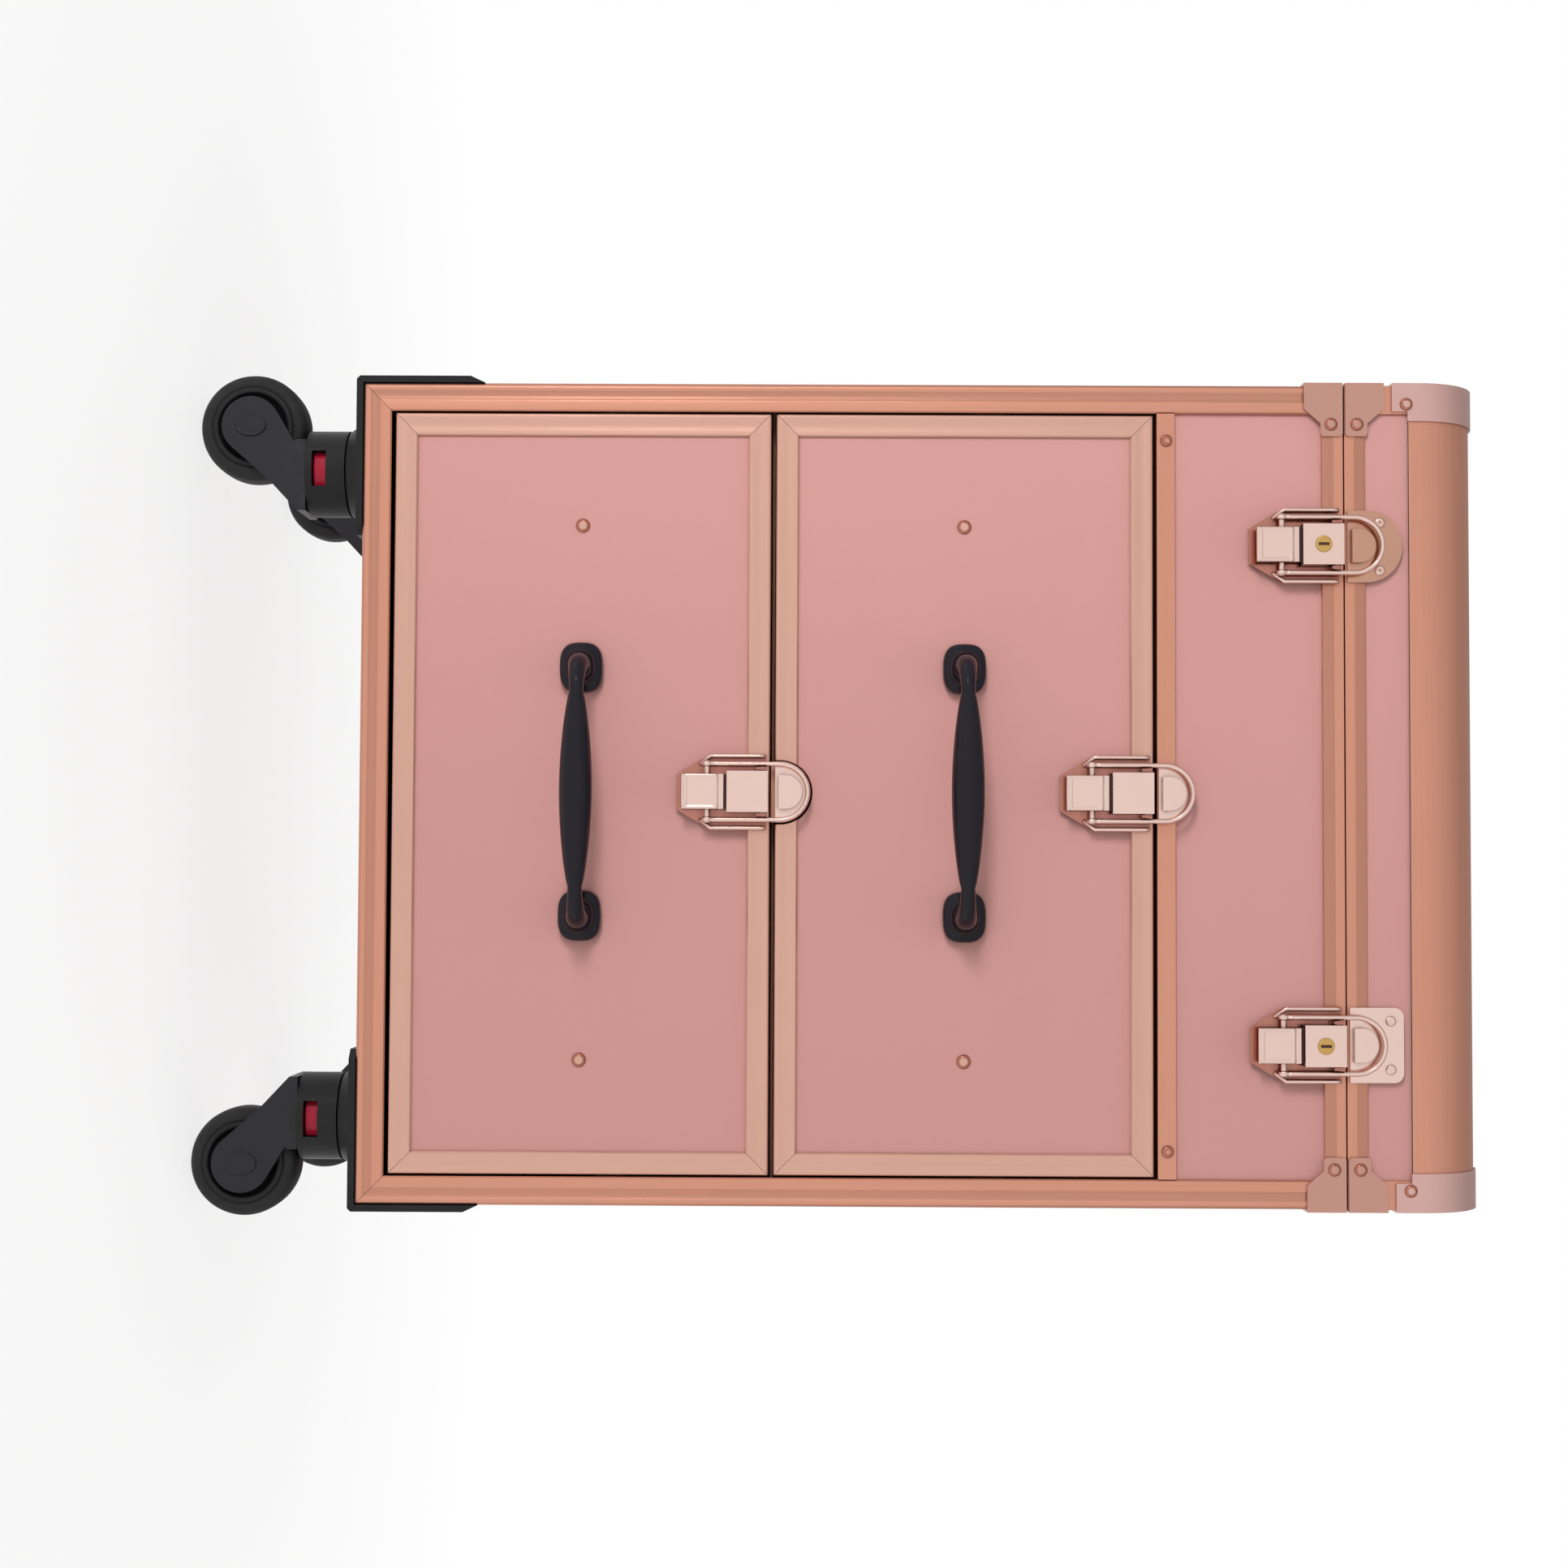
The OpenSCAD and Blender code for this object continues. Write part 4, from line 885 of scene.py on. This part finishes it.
class CASE_OT_latches(bpy.types.Operator):
    """Draw latches: polished bases and strikes, round wire loops, levers with a dished tab"""

    bl_idname = "makeup_case.latches"
    bl_label = "Draw latches"

    def execute(self, context):
        colours = finishes()
        metal = polished("Polished plating", colours.latch)
        # Darker base plating with a wider crevice mask: partly the bases' own tone, partly painted shade
        # under the levers.
        under = polished("Latch base plating and painted shade", colours.latch_base, reach=0.0048)
        tan = polished("Tan plating", colours.strike)
        brass = brushed("Lock brass", colours.lock, axis=1, roughness=(0.2, 0.32))
        recess_shade_finish = surface("Painted recess shade", colours.recess_shade, roughness=(0.5, 0.62), grain=900.0, vary=0.1, bump=0.05)
        edge = sizes().edge
        for node in ("lid_latch_bases", "lower_latch_base", "upper_latch_base"):
            dress(node, under, edge=edge * PLATE_EDGE, segments=3)
        dress("drawer_strikes", metal, edge=edge * PLATE_EDGE, segments=3)
        dress("lid_strikes", metal, tan, edge=edge * PLATE_EDGE, segments=3)
        for group in solids_of("lid_strikes"):
            paint("lid_strikes", group, 1 if extent("lid_strikes", group)[1].x < 0.0 else 0)
        for side in ("left", "right"):
            dress(side + "_lock_core", brass, edge=edge * LOCK_EDGE)
            keyway_floor(side, recess_shade_finish)
        for latch in LATCHES:
            # Faces in the lever's groove take the dark recess finish: painted shade.
            shown = dress(latch + "_lever", metal, recess_shade_finish, edge=edge * LEVER_EDGE, segments=3)
            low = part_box(latch + "_lever")[0]
            for polygon in shown.data.polygons:
                inward = polygon.center - low
                if LEVER_GROOVE[0] < inward.z < LEVER_GROOVE[1] and inward.y > GROOVE_SINK:
                    polygon.material_index = 1
            wire_loop(latch, metal)
            finger_plate(latch, metal)
        rim_beads(metal)
        return {"FINISHED"}


SLEEVE_EDGE = 0.6
WHEEL_POINTS = 72
# Wheel, in metres: radius, and depth below the hub's face
HUB = (
    (0.0027, 0.0), (0.0056, 0.0), (0.0062, 0.0006), (0.0066, 0.0019), (0.0105, 0.0024), (0.0138, 0.0019),
    (0.0144, 0.0006), (0.0150, 0.0), (0.0166, 0.0), (0.0170, 0.0003), (0.0170, 0.0011))
TYRE_FOOT = ((0.0170, 0.0011), (0.0174, 0.0006), (0.0182, 0.0004))
# Shoulder of the tyre: inset from the tread, and depth below the hub's face
TYRE_SHOULDER = ((0.0030, 0.0006), (0.0016, 0.0014), (0.0006, 0.0030), (0.0001, 0.0052))
# Ovals on the arms: half width and height, and rings with their share of it and their rise
OVAL_HALF = (0.0048, 0.0068)
OVAL_SINK = 0.0006
OVAL_POINTS = 40
OVAL_RINGS = (
    (1.0, 0.0), (1.0, 0.0004), (0.95, 0.00075), (0.86, 0.0009), (0.80, 0.00055), (0.72, 0.00055),
    (0.45, 0.0008), (0.15, 0.0009))


def turned_wheel(corner, plastic, tyre):
    """Hub and tyre, turned about the axle."""
    node = corner + "_wheel"
    low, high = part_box(node)
    centre = (low + high) / 2.0
    r = (high.z - low.z) / 2.0
    half = (high.y - low.y) / 2.0
    hub = [(HUB[0][0], 0.0)] + [(a, half - depth) for a, depth in HUB]
    rolled = [(a, half - depth) for a, depth in TYRE_FOOT]
    rolled += [(r - inset, half - depth) for inset, depth in TYRE_SHOULDER]
    rolled.append((r, 0.0))
    bm = bmesh.new()
    for s in (-1.0, 1.0):
        for index, profile in enumerate((hub, rolled)):
            revolve(bm, [(a, s * b) for a, b in profile], centre, BACK, WHEEL_POINTS, index)
    made = piece_from(corner + "_turned_wheel", bm, [plastic, tyre], corner + "_wheel")
    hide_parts(node)


def axle_ovals(corner, plastic):
    """The bare raised ovals at the axle on both cheeks of a fork."""
    low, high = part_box(corner + "_fork")
    wheel_low, wheel_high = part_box(corner + "_wheel")
    axle = (wheel_low + wheel_high) / 2.0
    bm = bmesh.new()
    for y, s in ((low.y + OVAL_SINK, -1.0), (high.y - OVAL_SINK, 1.0)):
        rings = []
        for share, rise in OVAL_RINGS:
            outline = ellipse(OVAL_HALF[0] * share, OVAL_HALF[1] * share, OVAL_POINTS)
            rings.append([Vector((axle.x + u, y + s * rise, axle.z + v)) for u, v in outline])
        loft(bm, rings)
    piece_from(corner + "_axle_ovals", bm, [plastic], corner + "_fork")


class CASE_OT_casters(bpy.types.Operator):
    """Casters, corner protectors and their release buttons"""

    bl_idname = "makeup_case.casters"
    bl_label = "Casters and protectors"

    def execute(self, context):
        plastic = moulded("Black moulding", finishes().moulding)
        grey = moulded("Grey black moulding", finishes().arm)
        tyre = rubber()
        red = moulded("Red moulding", finishes().button, roughness=(0.18, 0.3), grain=1500.0, bump=0.04)
        edge = sizes().moulded_edge
        dress("corner_protectors", plastic, edge=edge, segments=3)
        for corner in CORNERS:
            dress(corner + "_sleeve", plastic, edge=edge * SLEEVE_EDGE, segments=3)
            dress(corner + "_fork", grey, edge=edge, segments=3)
            dress(corner + "_button", red, edge=edge * SLEEVE_EDGE, segments=3)
            turned_wheel(corner, plastic, tyre)
            axle_ovals(corner, grey)
        return {"FINISHED"}


TUBE_EDGE = 0.7
GRIP_EDGE = 0.0032
BUTTON_EDGE = 0.0012


class CASE_OT_trolley(bpy.types.Operator):
    """Trolley handle and hinges at the back"""

    bl_idname = "makeup_case.trolley"
    bl_label = "Trolley and hinges"

    def execute(self, context):
        colours = finishes()
        edge = sizes().edge
        tube = brushed("Trolley tube", colours.tube, axis=2)
        for node in ("trolley_outer_tubes", "trolley_middle_tubes", "trolley_inner_tubes"):
            dress(node, tube, edge=edge * TUBE_EDGE)
        grip = moulded("Matt grip", colours.moulding, roughness=(0.5, 0.64), grain=1700.0, bump=0.3)
        dress("trolley_grip", grip, edge=GRIP_EDGE, segments=5)
        button = moulded("Grip button", colours.moulding, roughness=(0.3, 0.42))
        dress("trolley_button", button, edge=BUTTON_EDGE, segments=3)
        for node in ("hinge_carcass_leaves", "hinge_lid_leaves"):
            dress(node, zinc(), edge=edge * TUBE_EDGE)
        return {"FINISHED"}


# Rivets and screws: shares of a rivet's head, heads of screws in metres, and places in metres

PANEL_HEAD = 1.1
CROSS_HEAD = 0.95
STRIKE_HEAD = (0.8, 0.85)
HINGE_SCREW = (0.0026, 0.0009)
BRACKET_SCREW = (0.0036, 0.0014)
SCREW_DIMPLE = 0.4
DIMPLE_SPAN = (0.2, 0.5)
RIVET_SPAN = 0.012
RIVET_STAND = 0.0009
BRACKET_STAND = 0.0021
SEAM_HALF = 0.0002
RIM_INSET = 0.0165
RIM_RISE = 0.0054
CAP_INSET = 0.008
CAP_DROP = 0.0325
CROSS_INSET = 0.0235
CROSS_Z = 0.41055
STRIKE_X = 0.1035
STRIKE_RISES = {-1: 0.0145, 1: 0.018}
STRIKE_SPREAD = 0.010
STRIKE_FOOT = 0.0012
STRIKE_FACE = 0.0027
PROFILE_SHEET = 0.0012
LEAF_SHEET = 0.0014
LEAF_HALF = 0.020
LEAF_INSET = 0.006
LEAF_STEP = 0.0135
BRACKET_PLATE = 0.004
BRACKET_INSET = 0.041
BRACKET_LOW = 0.012
BRACKET_HIGH = 0.014


def rivet_tree():
    """Geometry nodes: a low dome with a dimple on each point, turned to face outward."""
    tree = bpy.data.node_groups.new("Rivet heads", "GeometryNodeTree")
    inputs = {"Points": "Geometry", "Radius": "Float", "Height": "Float", "Dimple": "Float",
              "Finish": "Material"}
    for label, kind in inputs.items():
        tree.interface.new_socket(label, in_out="INPUT", socket_type="NodeSocket" + kind)
    tree.interface.new_socket("Heads", in_out="OUTPUT", socket_type="NodeSocketGeometry")
    given = tree.nodes.new("NodeGroupInput").outputs
    ball = add_node(tree, "GeometryNodeMeshUVSphere", {"Segments": 24, "Rings": 14, "Radius": 1.0})
    scale = add_node(tree, "ShaderNodeCombineXYZ",
                     {"X": given["Radius"], "Y": given["Radius"], "Z": given["Height"]})
    place = tree.nodes.new("GeometryNodeInputPosition").outputs[0]
    parts = add_node(tree, "ShaderNodeSeparateXYZ", {0: place}).outputs
    squares = [math_node(tree, "POWER", parts[k], 2.0) for k in ("X", "Y")]
    reach = math_node(tree, "SQRT", math_node(tree, "ADD", *squares), 0.0)
    hollow = ramp(tree, reach, *DIMPLE_SPAN, to_low=1.0, to_high=0.0, kind="SMOOTHSTEP")
    upper = math_node(tree, "GREATER_THAN", parts["Z"], 0.0)
    sunk = math_node(tree, "MULTIPLY", math_node(tree, "MULTIPLY", hollow, upper), given["Dimple"])
    drop = add_node(tree, "ShaderNodeCombineXYZ", {"Z": math_node(tree, "MULTIPLY", sunk, -1.0)})
    dimpled = add_node(tree, "GeometryNodeSetPosition",
                       {"Geometry": ball.outputs["Mesh"], "Offset": drop.outputs[0]})
    facing = add_node(tree, "GeometryNodeInputNamedAttribute", {"Name": "facing"}, data_type="FLOAT_VECTOR")
    turned = add_node(tree, "FunctionNodeAlignRotationToVector",
                      {"Vector": facing.outputs["Attribute"]}, axis="Z")
    spread = add_node(tree, "GeometryNodeInstanceOnPoints",
                      {"Points": given["Points"], "Instance": dimpled.outputs["Geometry"],
                       "Rotation": turned.outputs["Rotation"], "Scale": scale.outputs[0]})
    real = add_node(tree, "GeometryNodeRealizeInstances", {"Geometry": spread.outputs["Instances"]})
    smooth = add_node(tree, "GeometryNodeSetShadeSmooth", {"Geometry": real.outputs["Geometry"]})
    coat = add_node(tree, "GeometryNodeSetMaterial",
                    {"Geometry": smooth.outputs["Geometry"], "Material": given["Finish"]})
    add_node(tree, "NodeGroupOutput", {"Heads": coat.outputs["Geometry"]})
    return tree


def spread_rivets(name, places, body, slot, finish, radius, height, dimple=0.5):
    """One plain mesh of rivet heads for one body; places are (point, outward direction)."""
    mesh = bpy.data.meshes.new(name + "_points")
    mesh.from_pydata([p for p, n in places], [], [])
    facing = mesh.attributes.new("facing", "FLOAT_VECTOR", "POINT")
    for item, (p, n) in zip(facing.data, places):
        item.vector = n
    holder = bpy.data.objects.new(name, mesh)
    bpy.context.scene.collection.objects.link(holder)
    tree = bpy.data.node_groups.get("Rivet heads") or rivet_tree()
    modifier = holder.modifiers.new("Rivets", "NODES")
    modifier.node_group = tree
    values = {"Radius": radius, "Height": height, "Dimple": dimple, "Finish": finish}
    for item in tree.interface.items_tree:
        if item.in_out == "INPUT" and item.name in values:
            modifier[item.identifier] = values[item.name]
    graph = bpy.context.evaluated_depsgraph_get()
    made = bpy.data.meshes.new_from_object(holder.evaluated_get(graph), depsgraph=graph)
    holder.modifiers.remove(modifier)
    holder.data = made
    bpy.data.meshes.remove(mesh)
    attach(holder, body)


def rivet_solids(node):
    """Places of the rivets of a CAD node, which are its smallest solids."""
    places = []
    for group in solids_of(node):
        low, high = extent(node, group)
        if (high - low).length < RIVET_SPAN:
            middle = (low + high) / 2.0
            places.append((Vector((middle.x, high.y, middle.z)), FRONT))
    return places


def corner_rivets(node, body, head, r, h):
    """Heads over the rivets of the four corners, on the front or back and on the side."""
    low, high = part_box(node)
    lid_low, lid_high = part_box("lid_profiles")
    seam = lid_low.z - SEAM_HALF
    rows = [(RIM_INSET, seam + RIM_RISE if body == "lid" else seam - RIM_RISE)]
    if body == "lid":
        rows.append((CAP_INSET, lid_high.z - CAP_DROP))
    ends = {-1: low, 1: high}
    places = []
    for along, z in rows:
        for sx in (-1, 1):
            for sy in (-1, 1):
                x = ends[sx].x - sx * BRACKET_STAND
                y = ends[sy].y - sy * BRACKET_STAND
                places.append((Vector((x - sx * along, y + sy * RIVET_STAND, z)), BACK * sy))
                places.append((Vector((x + sx * RIVET_STAND, y - sy * along, z)), RIGHT * sx))
    spread_rivets(node + "_rivets", places, body, "rose_profile", head, r, h)


def hinge_screws():
    """Three screws in each leaf of both hinges."""
    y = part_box("back_panel")[1].y + PROFILE_SHEET + LEAF_SHEET
    for node, body in (("hinge_carcass_leaves", "carcass"), ("hinge_lid_leaves", "lid")):
        low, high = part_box(node)
        z = low.z + LEAF_INSET if body == "carcass" else high.z - LEAF_INSET
        x = (high.x - low.x) / 2.0 - LEAF_HALF
        places = []
        for s in (-1, 1):
            for step in (-LEAF_STEP, 0.0, LEAF_STEP):
                places.append((Vector((s * x + step, y, z)), BACK))
        spread_rivets(node + "_screws", places, body, "sheet_steel", zinc(), *HINGE_SCREW, SCREW_DIMPLE)


def trolley_screws():
    """Two screws in the plate of each trolley bracket, beside the blocks that hold the tubes."""
    low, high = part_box("trolley_outer_tubes")
    x = high.x - BRACKET_INSET
    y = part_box("back_panel")[1].y + PROFILE_SHEET + BRACKET_PLATE
    places = []
    for z in (low.z + BRACKET_LOW, high.z - BRACKET_HIGH):
        places += [(Vector((s * x, y, z)), BACK) for s in (-1, 1)]
    spread_rivets("trolley_bracket_screws", places, "carcass", "sheet_steel", zinc(), *BRACKET_SCREW,
                  SCREW_DIMPLE)


class CASE_OT_rivets(bpy.types.Operator):
    """Rivet heads on brackets, caps, frames and strikes, screws on hinges and trolley brackets"""

    bl_idname = "makeup_case.rivets"
    bl_label = "Rivets and screws"

    def execute(self, context):
        size = sizes()
        colours = finishes()
        r, h = size.rivet_radius, size.rivet_height
        head = polished("Rivet head", colours.rivet)
        corner_rivets("carcass_corner_brackets", "carcass", head, r, h)
        corner_rivets("lid_corners", "lid", head, r, h)
        for level in DRAWERS:
            places = rivet_solids(level + "_drawer_frame")
            radius = r * PANEL_HEAD
            spread_rivets(level + "_panel_rivets", places, level + "_drawer", "rose_profile", head, radius, h)
        low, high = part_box("front_frame")
        x = high.x - CROSS_INSET
        cross = [(Vector((s * x, low.y + RIVET_STAND, CROSS_Z)), FRONT) for s in (-1, 1)]
        spread_rivets("cross_rail_rivets", cross, "carcass", "rose_profile", head, r * CROSS_HEAD, h)
        low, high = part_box("lid_strikes")
        strikes = []
        for side, rise in STRIKE_RISES.items():
            z = low.z - STRIKE_FOOT + rise
            for s in (-1, 1):
                x = side * STRIKE_X + s * STRIKE_SPREAD
                strikes.append((Vector((x, low.y + STRIKE_FACE, z)), FRONT))
        plated = polished("Polished plating", colours.latch)
        spread_rivets("strike_rivets", strikes, "lid", "latch_metal", plated, r * STRIKE_HEAD[0],
                      h * STRIKE_HEAD[1])
        hinge_screws()
        trolley_screws()
        return {"FINISHED"}


SENSOR_WIDTH = 36.0
CLIP_START = 0.01
# Name, place, height that the lamp is aimed at, size, share of the key light, and whether gloss mirrors it
LAMPS = (
    ("Key", (-0.80, -1.15, 0.02), 0.24, (0.55, 0.45), 1.03, False),
    ("Sheen", (-0.95, -1.25, 0.10), 0.26, (0.22, 0.17), 0.08, True),
    ("Top", (0.2, -0.3, 1.9), 0.3, (1.4, 1.4), 0.6, False),
    ("Rim", (1.3, 1.2, 0.9), 0.3, (0.8, 0.8), 0.45, False),
    ("Back", (-0.6, 1.6, 0.5), 0.25, (1.0, 0.8), 0.75, False),
)
SKY_COLOUR = (1.0, 0.985, 0.975, 1.0)
SKY_SLOPE = (0.05, -0.75, -0.30)
SKY_FALL = (-0.40, 0.72, 0.42, 1.0)
FLOOR_COLOUR = (0.86, 0.86, 0.86, 1.0)
FLOOR_ROUGHNESS = 0.8
FLOOR_HALF = 6.0
FLOOR_DROP = 0.0003
FLOOR_FADE = (0.25, 0.95, 0.80, 1.0)


def place_camera(context):
    """The camera lies on its side, as the picture does."""
    stage = context.scene.case_stage
    data = bpy.data.cameras.new("Camera")
    data.lens = stage.focal
    data.sensor_width = SENSOR_WIDTH
    data.clip_start = CLIP_START
    cam = bpy.data.objects.new("Camera", data)
    context.scene.collection.objects.link(cam)
    upright = math.pi / 2.0
    turn = Matrix.Rotation(stage.yaw, 4, "Z") @ Matrix.Rotation(upright + stage.pitch, 4, "X")
    lying = Matrix.Rotation(upright + stage.roll, 4, "Z")
    cam.matrix_world = Matrix.Translation(stage.camera_place) @ turn @ lying
    context.scene.camera = cam


def place_lamps(context):
    """Soft lamps round the case; only one of them shows in gloss."""
    for name, place, aim, size, share, mirrored in LAMPS:
        data = bpy.data.lights.new(name, "AREA")
        data.shape = "RECTANGLE"
        data.size, data.size_y = size
        data.energy = share * context.scene.case_stage.key
        lamp = bpy.data.objects.new(name, data)
        context.scene.collection.objects.link(lamp)
        lamp.visible_glossy = mirrored
        lamp.location = place
        lamp.rotation_euler = (UP * aim - Vector(place)).to_track_quat("-Z", "Y").to_euler()


def white_sky(context):
    """White to the camera, brightest ahead of the case in mirrors, and an even softer light elsewhere."""
    world = bpy.data.worlds.new("Sky")
    world.use_nodes = True
    context.scene.world = world
    tree = world.node_tree
    plain = tree.nodes["Background"]
    plain.inputs["Color"].default_value = SKY_COLOUR
    plain.inputs["Strength"].default_value = context.scene.case_stage.fill
    place = tree.nodes.new("ShaderNodeTexCoord").outputs["Generated"]
    slope = add_node(tree, "ShaderNodeVectorMath", {0: place, 1: SKY_SLOPE}, operation="DOT_PRODUCT")
    strength = ramp(tree, slope.outputs["Value"], *SKY_FALL)
    mirror = add_node(tree, "ShaderNodeBackground", {"Color": WHITE, "Strength": strength})
    white = add_node(tree, "ShaderNodeBackground", {"Color": WHITE, "Strength": 1.0})
    seen, bounced = ray_kinds(tree)
    unseen = mix_shader(tree, bounced, plain.outputs[0], mirror.outputs[0])
    both = mix_shader(tree, seen, unseen, white.outputs[0])
    feed(tree, tree.nodes["World Output"].inputs["Surface"], both)


def pale_floor(context):
    """A wide pale sheet that keeps the case's shadow and lets white and pulled casters show through."""
    bm = bmesh.new()
    drop = Matrix.Translation((0.0, 0.0, -FLOOR_DROP))
    bmesh.ops.create_grid(bm, x_segments=12, y_segments=12, size=FLOOR_HALF, matrix=drop)
    mesh = bpy.data.meshes.new("Floor")
    bm.to_mesh(mesh)
    bm.free()
    mat = bpy.data.materials.new("Pale floor")
    mat.use_nodes = True
    tree = mat.node_tree
    shader = tree.nodes["Principled BSDF"]
    shader.inputs["Base Color"].default_value = FLOOR_COLOUR
    shader.inputs["Roughness"].default_value = FLOOR_ROUGHNESS
    place = tree.nodes.new("ShaderNodeTexCoord").outputs["Object"]
    away = add_node(tree, "ShaderNodeVectorMath", {0: place}, operation="LENGTH").outputs["Value"]
    fade = ramp(tree, away, *FLOOR_FADE)
    shown = shader.outputs[0]
    for ray, kind in zip(ray_kinds(tree), ("ShaderNodeBsdfTransparent", "ShaderNodeEmission")):
        other = tree.nodes.new(kind).outputs[0]
        shown = mix_shader(tree, math_node(tree, "MULTIPLY", ray, fade), shown, other)
    feed(tree, tree.nodes["Material Output"].inputs["Surface"], shown)
    mesh.materials.append(mat)
    floor = bpy.data.objects.new("Floor", mesh)
    context.scene.collection.objects.link(floor)


class CASE_OT_stage(bpy.types.Operator):
    """Camera, lamps, sky and floor"""

    bl_idname = "makeup_case.stage"
    bl_label = "Studio"

    def execute(self, context):
        place_camera(context)
        place_lamps(context)
        white_sky(context)
        pale_floor(context)
        context.scene.view_settings.view_transform = "Standard"
        return {"FINISHED"}


class CASE_PT_sidebar(bpy.types.Panel):
    """The steps that dress the case"""

    bl_idname = "CASE_PT_sidebar"
    bl_label = "Makeup case"
    bl_space_type = "VIEW_3D"
    bl_region_type = "UI"
    bl_category = "Makeup case"

    def draw(self, context):
        for step in STEPS:
            self.layout.operator(step.bl_idname)


STEPS = (CASE_OT_panels, CASE_OT_profiles, CASE_OT_pulls, CASE_OT_latches, CASE_OT_casters, CASE_OT_trolley,
         CASE_OT_rivets, CASE_OT_stage)
GROUPS = {"case_finishes": CaseFinishes, "case_sizes": CaseSizes, "case_stage": CaseStage}
CLASSES = (*GROUPS.values(), *STEPS, CASE_PT_sidebar)


def register():
    for item in CLASSES:
        bpy.utils.register_class(item)
    for label, group in GROUPS.items():
        setattr(bpy.types.Scene, label, bpy.props.PointerProperty(type=group))


def unregister():
    for label in GROUPS:
        delattr(bpy.types.Scene, label)
    for item in reversed(CLASSES):
        bpy.utils.unregister_class(item)


def main():
    register()
    bpy.ops.makeup_case.stage()
    bpy.ops.makeup_case.panels()
    bpy.ops.makeup_case.profiles()
    bpy.ops.makeup_case.pulls()
    bpy.ops.makeup_case.latches()
    bpy.ops.makeup_case.casters()
    bpy.ops.makeup_case.trolley()
    bpy.ops.makeup_case.rivets()


if __name__ == "__main__":
    main()
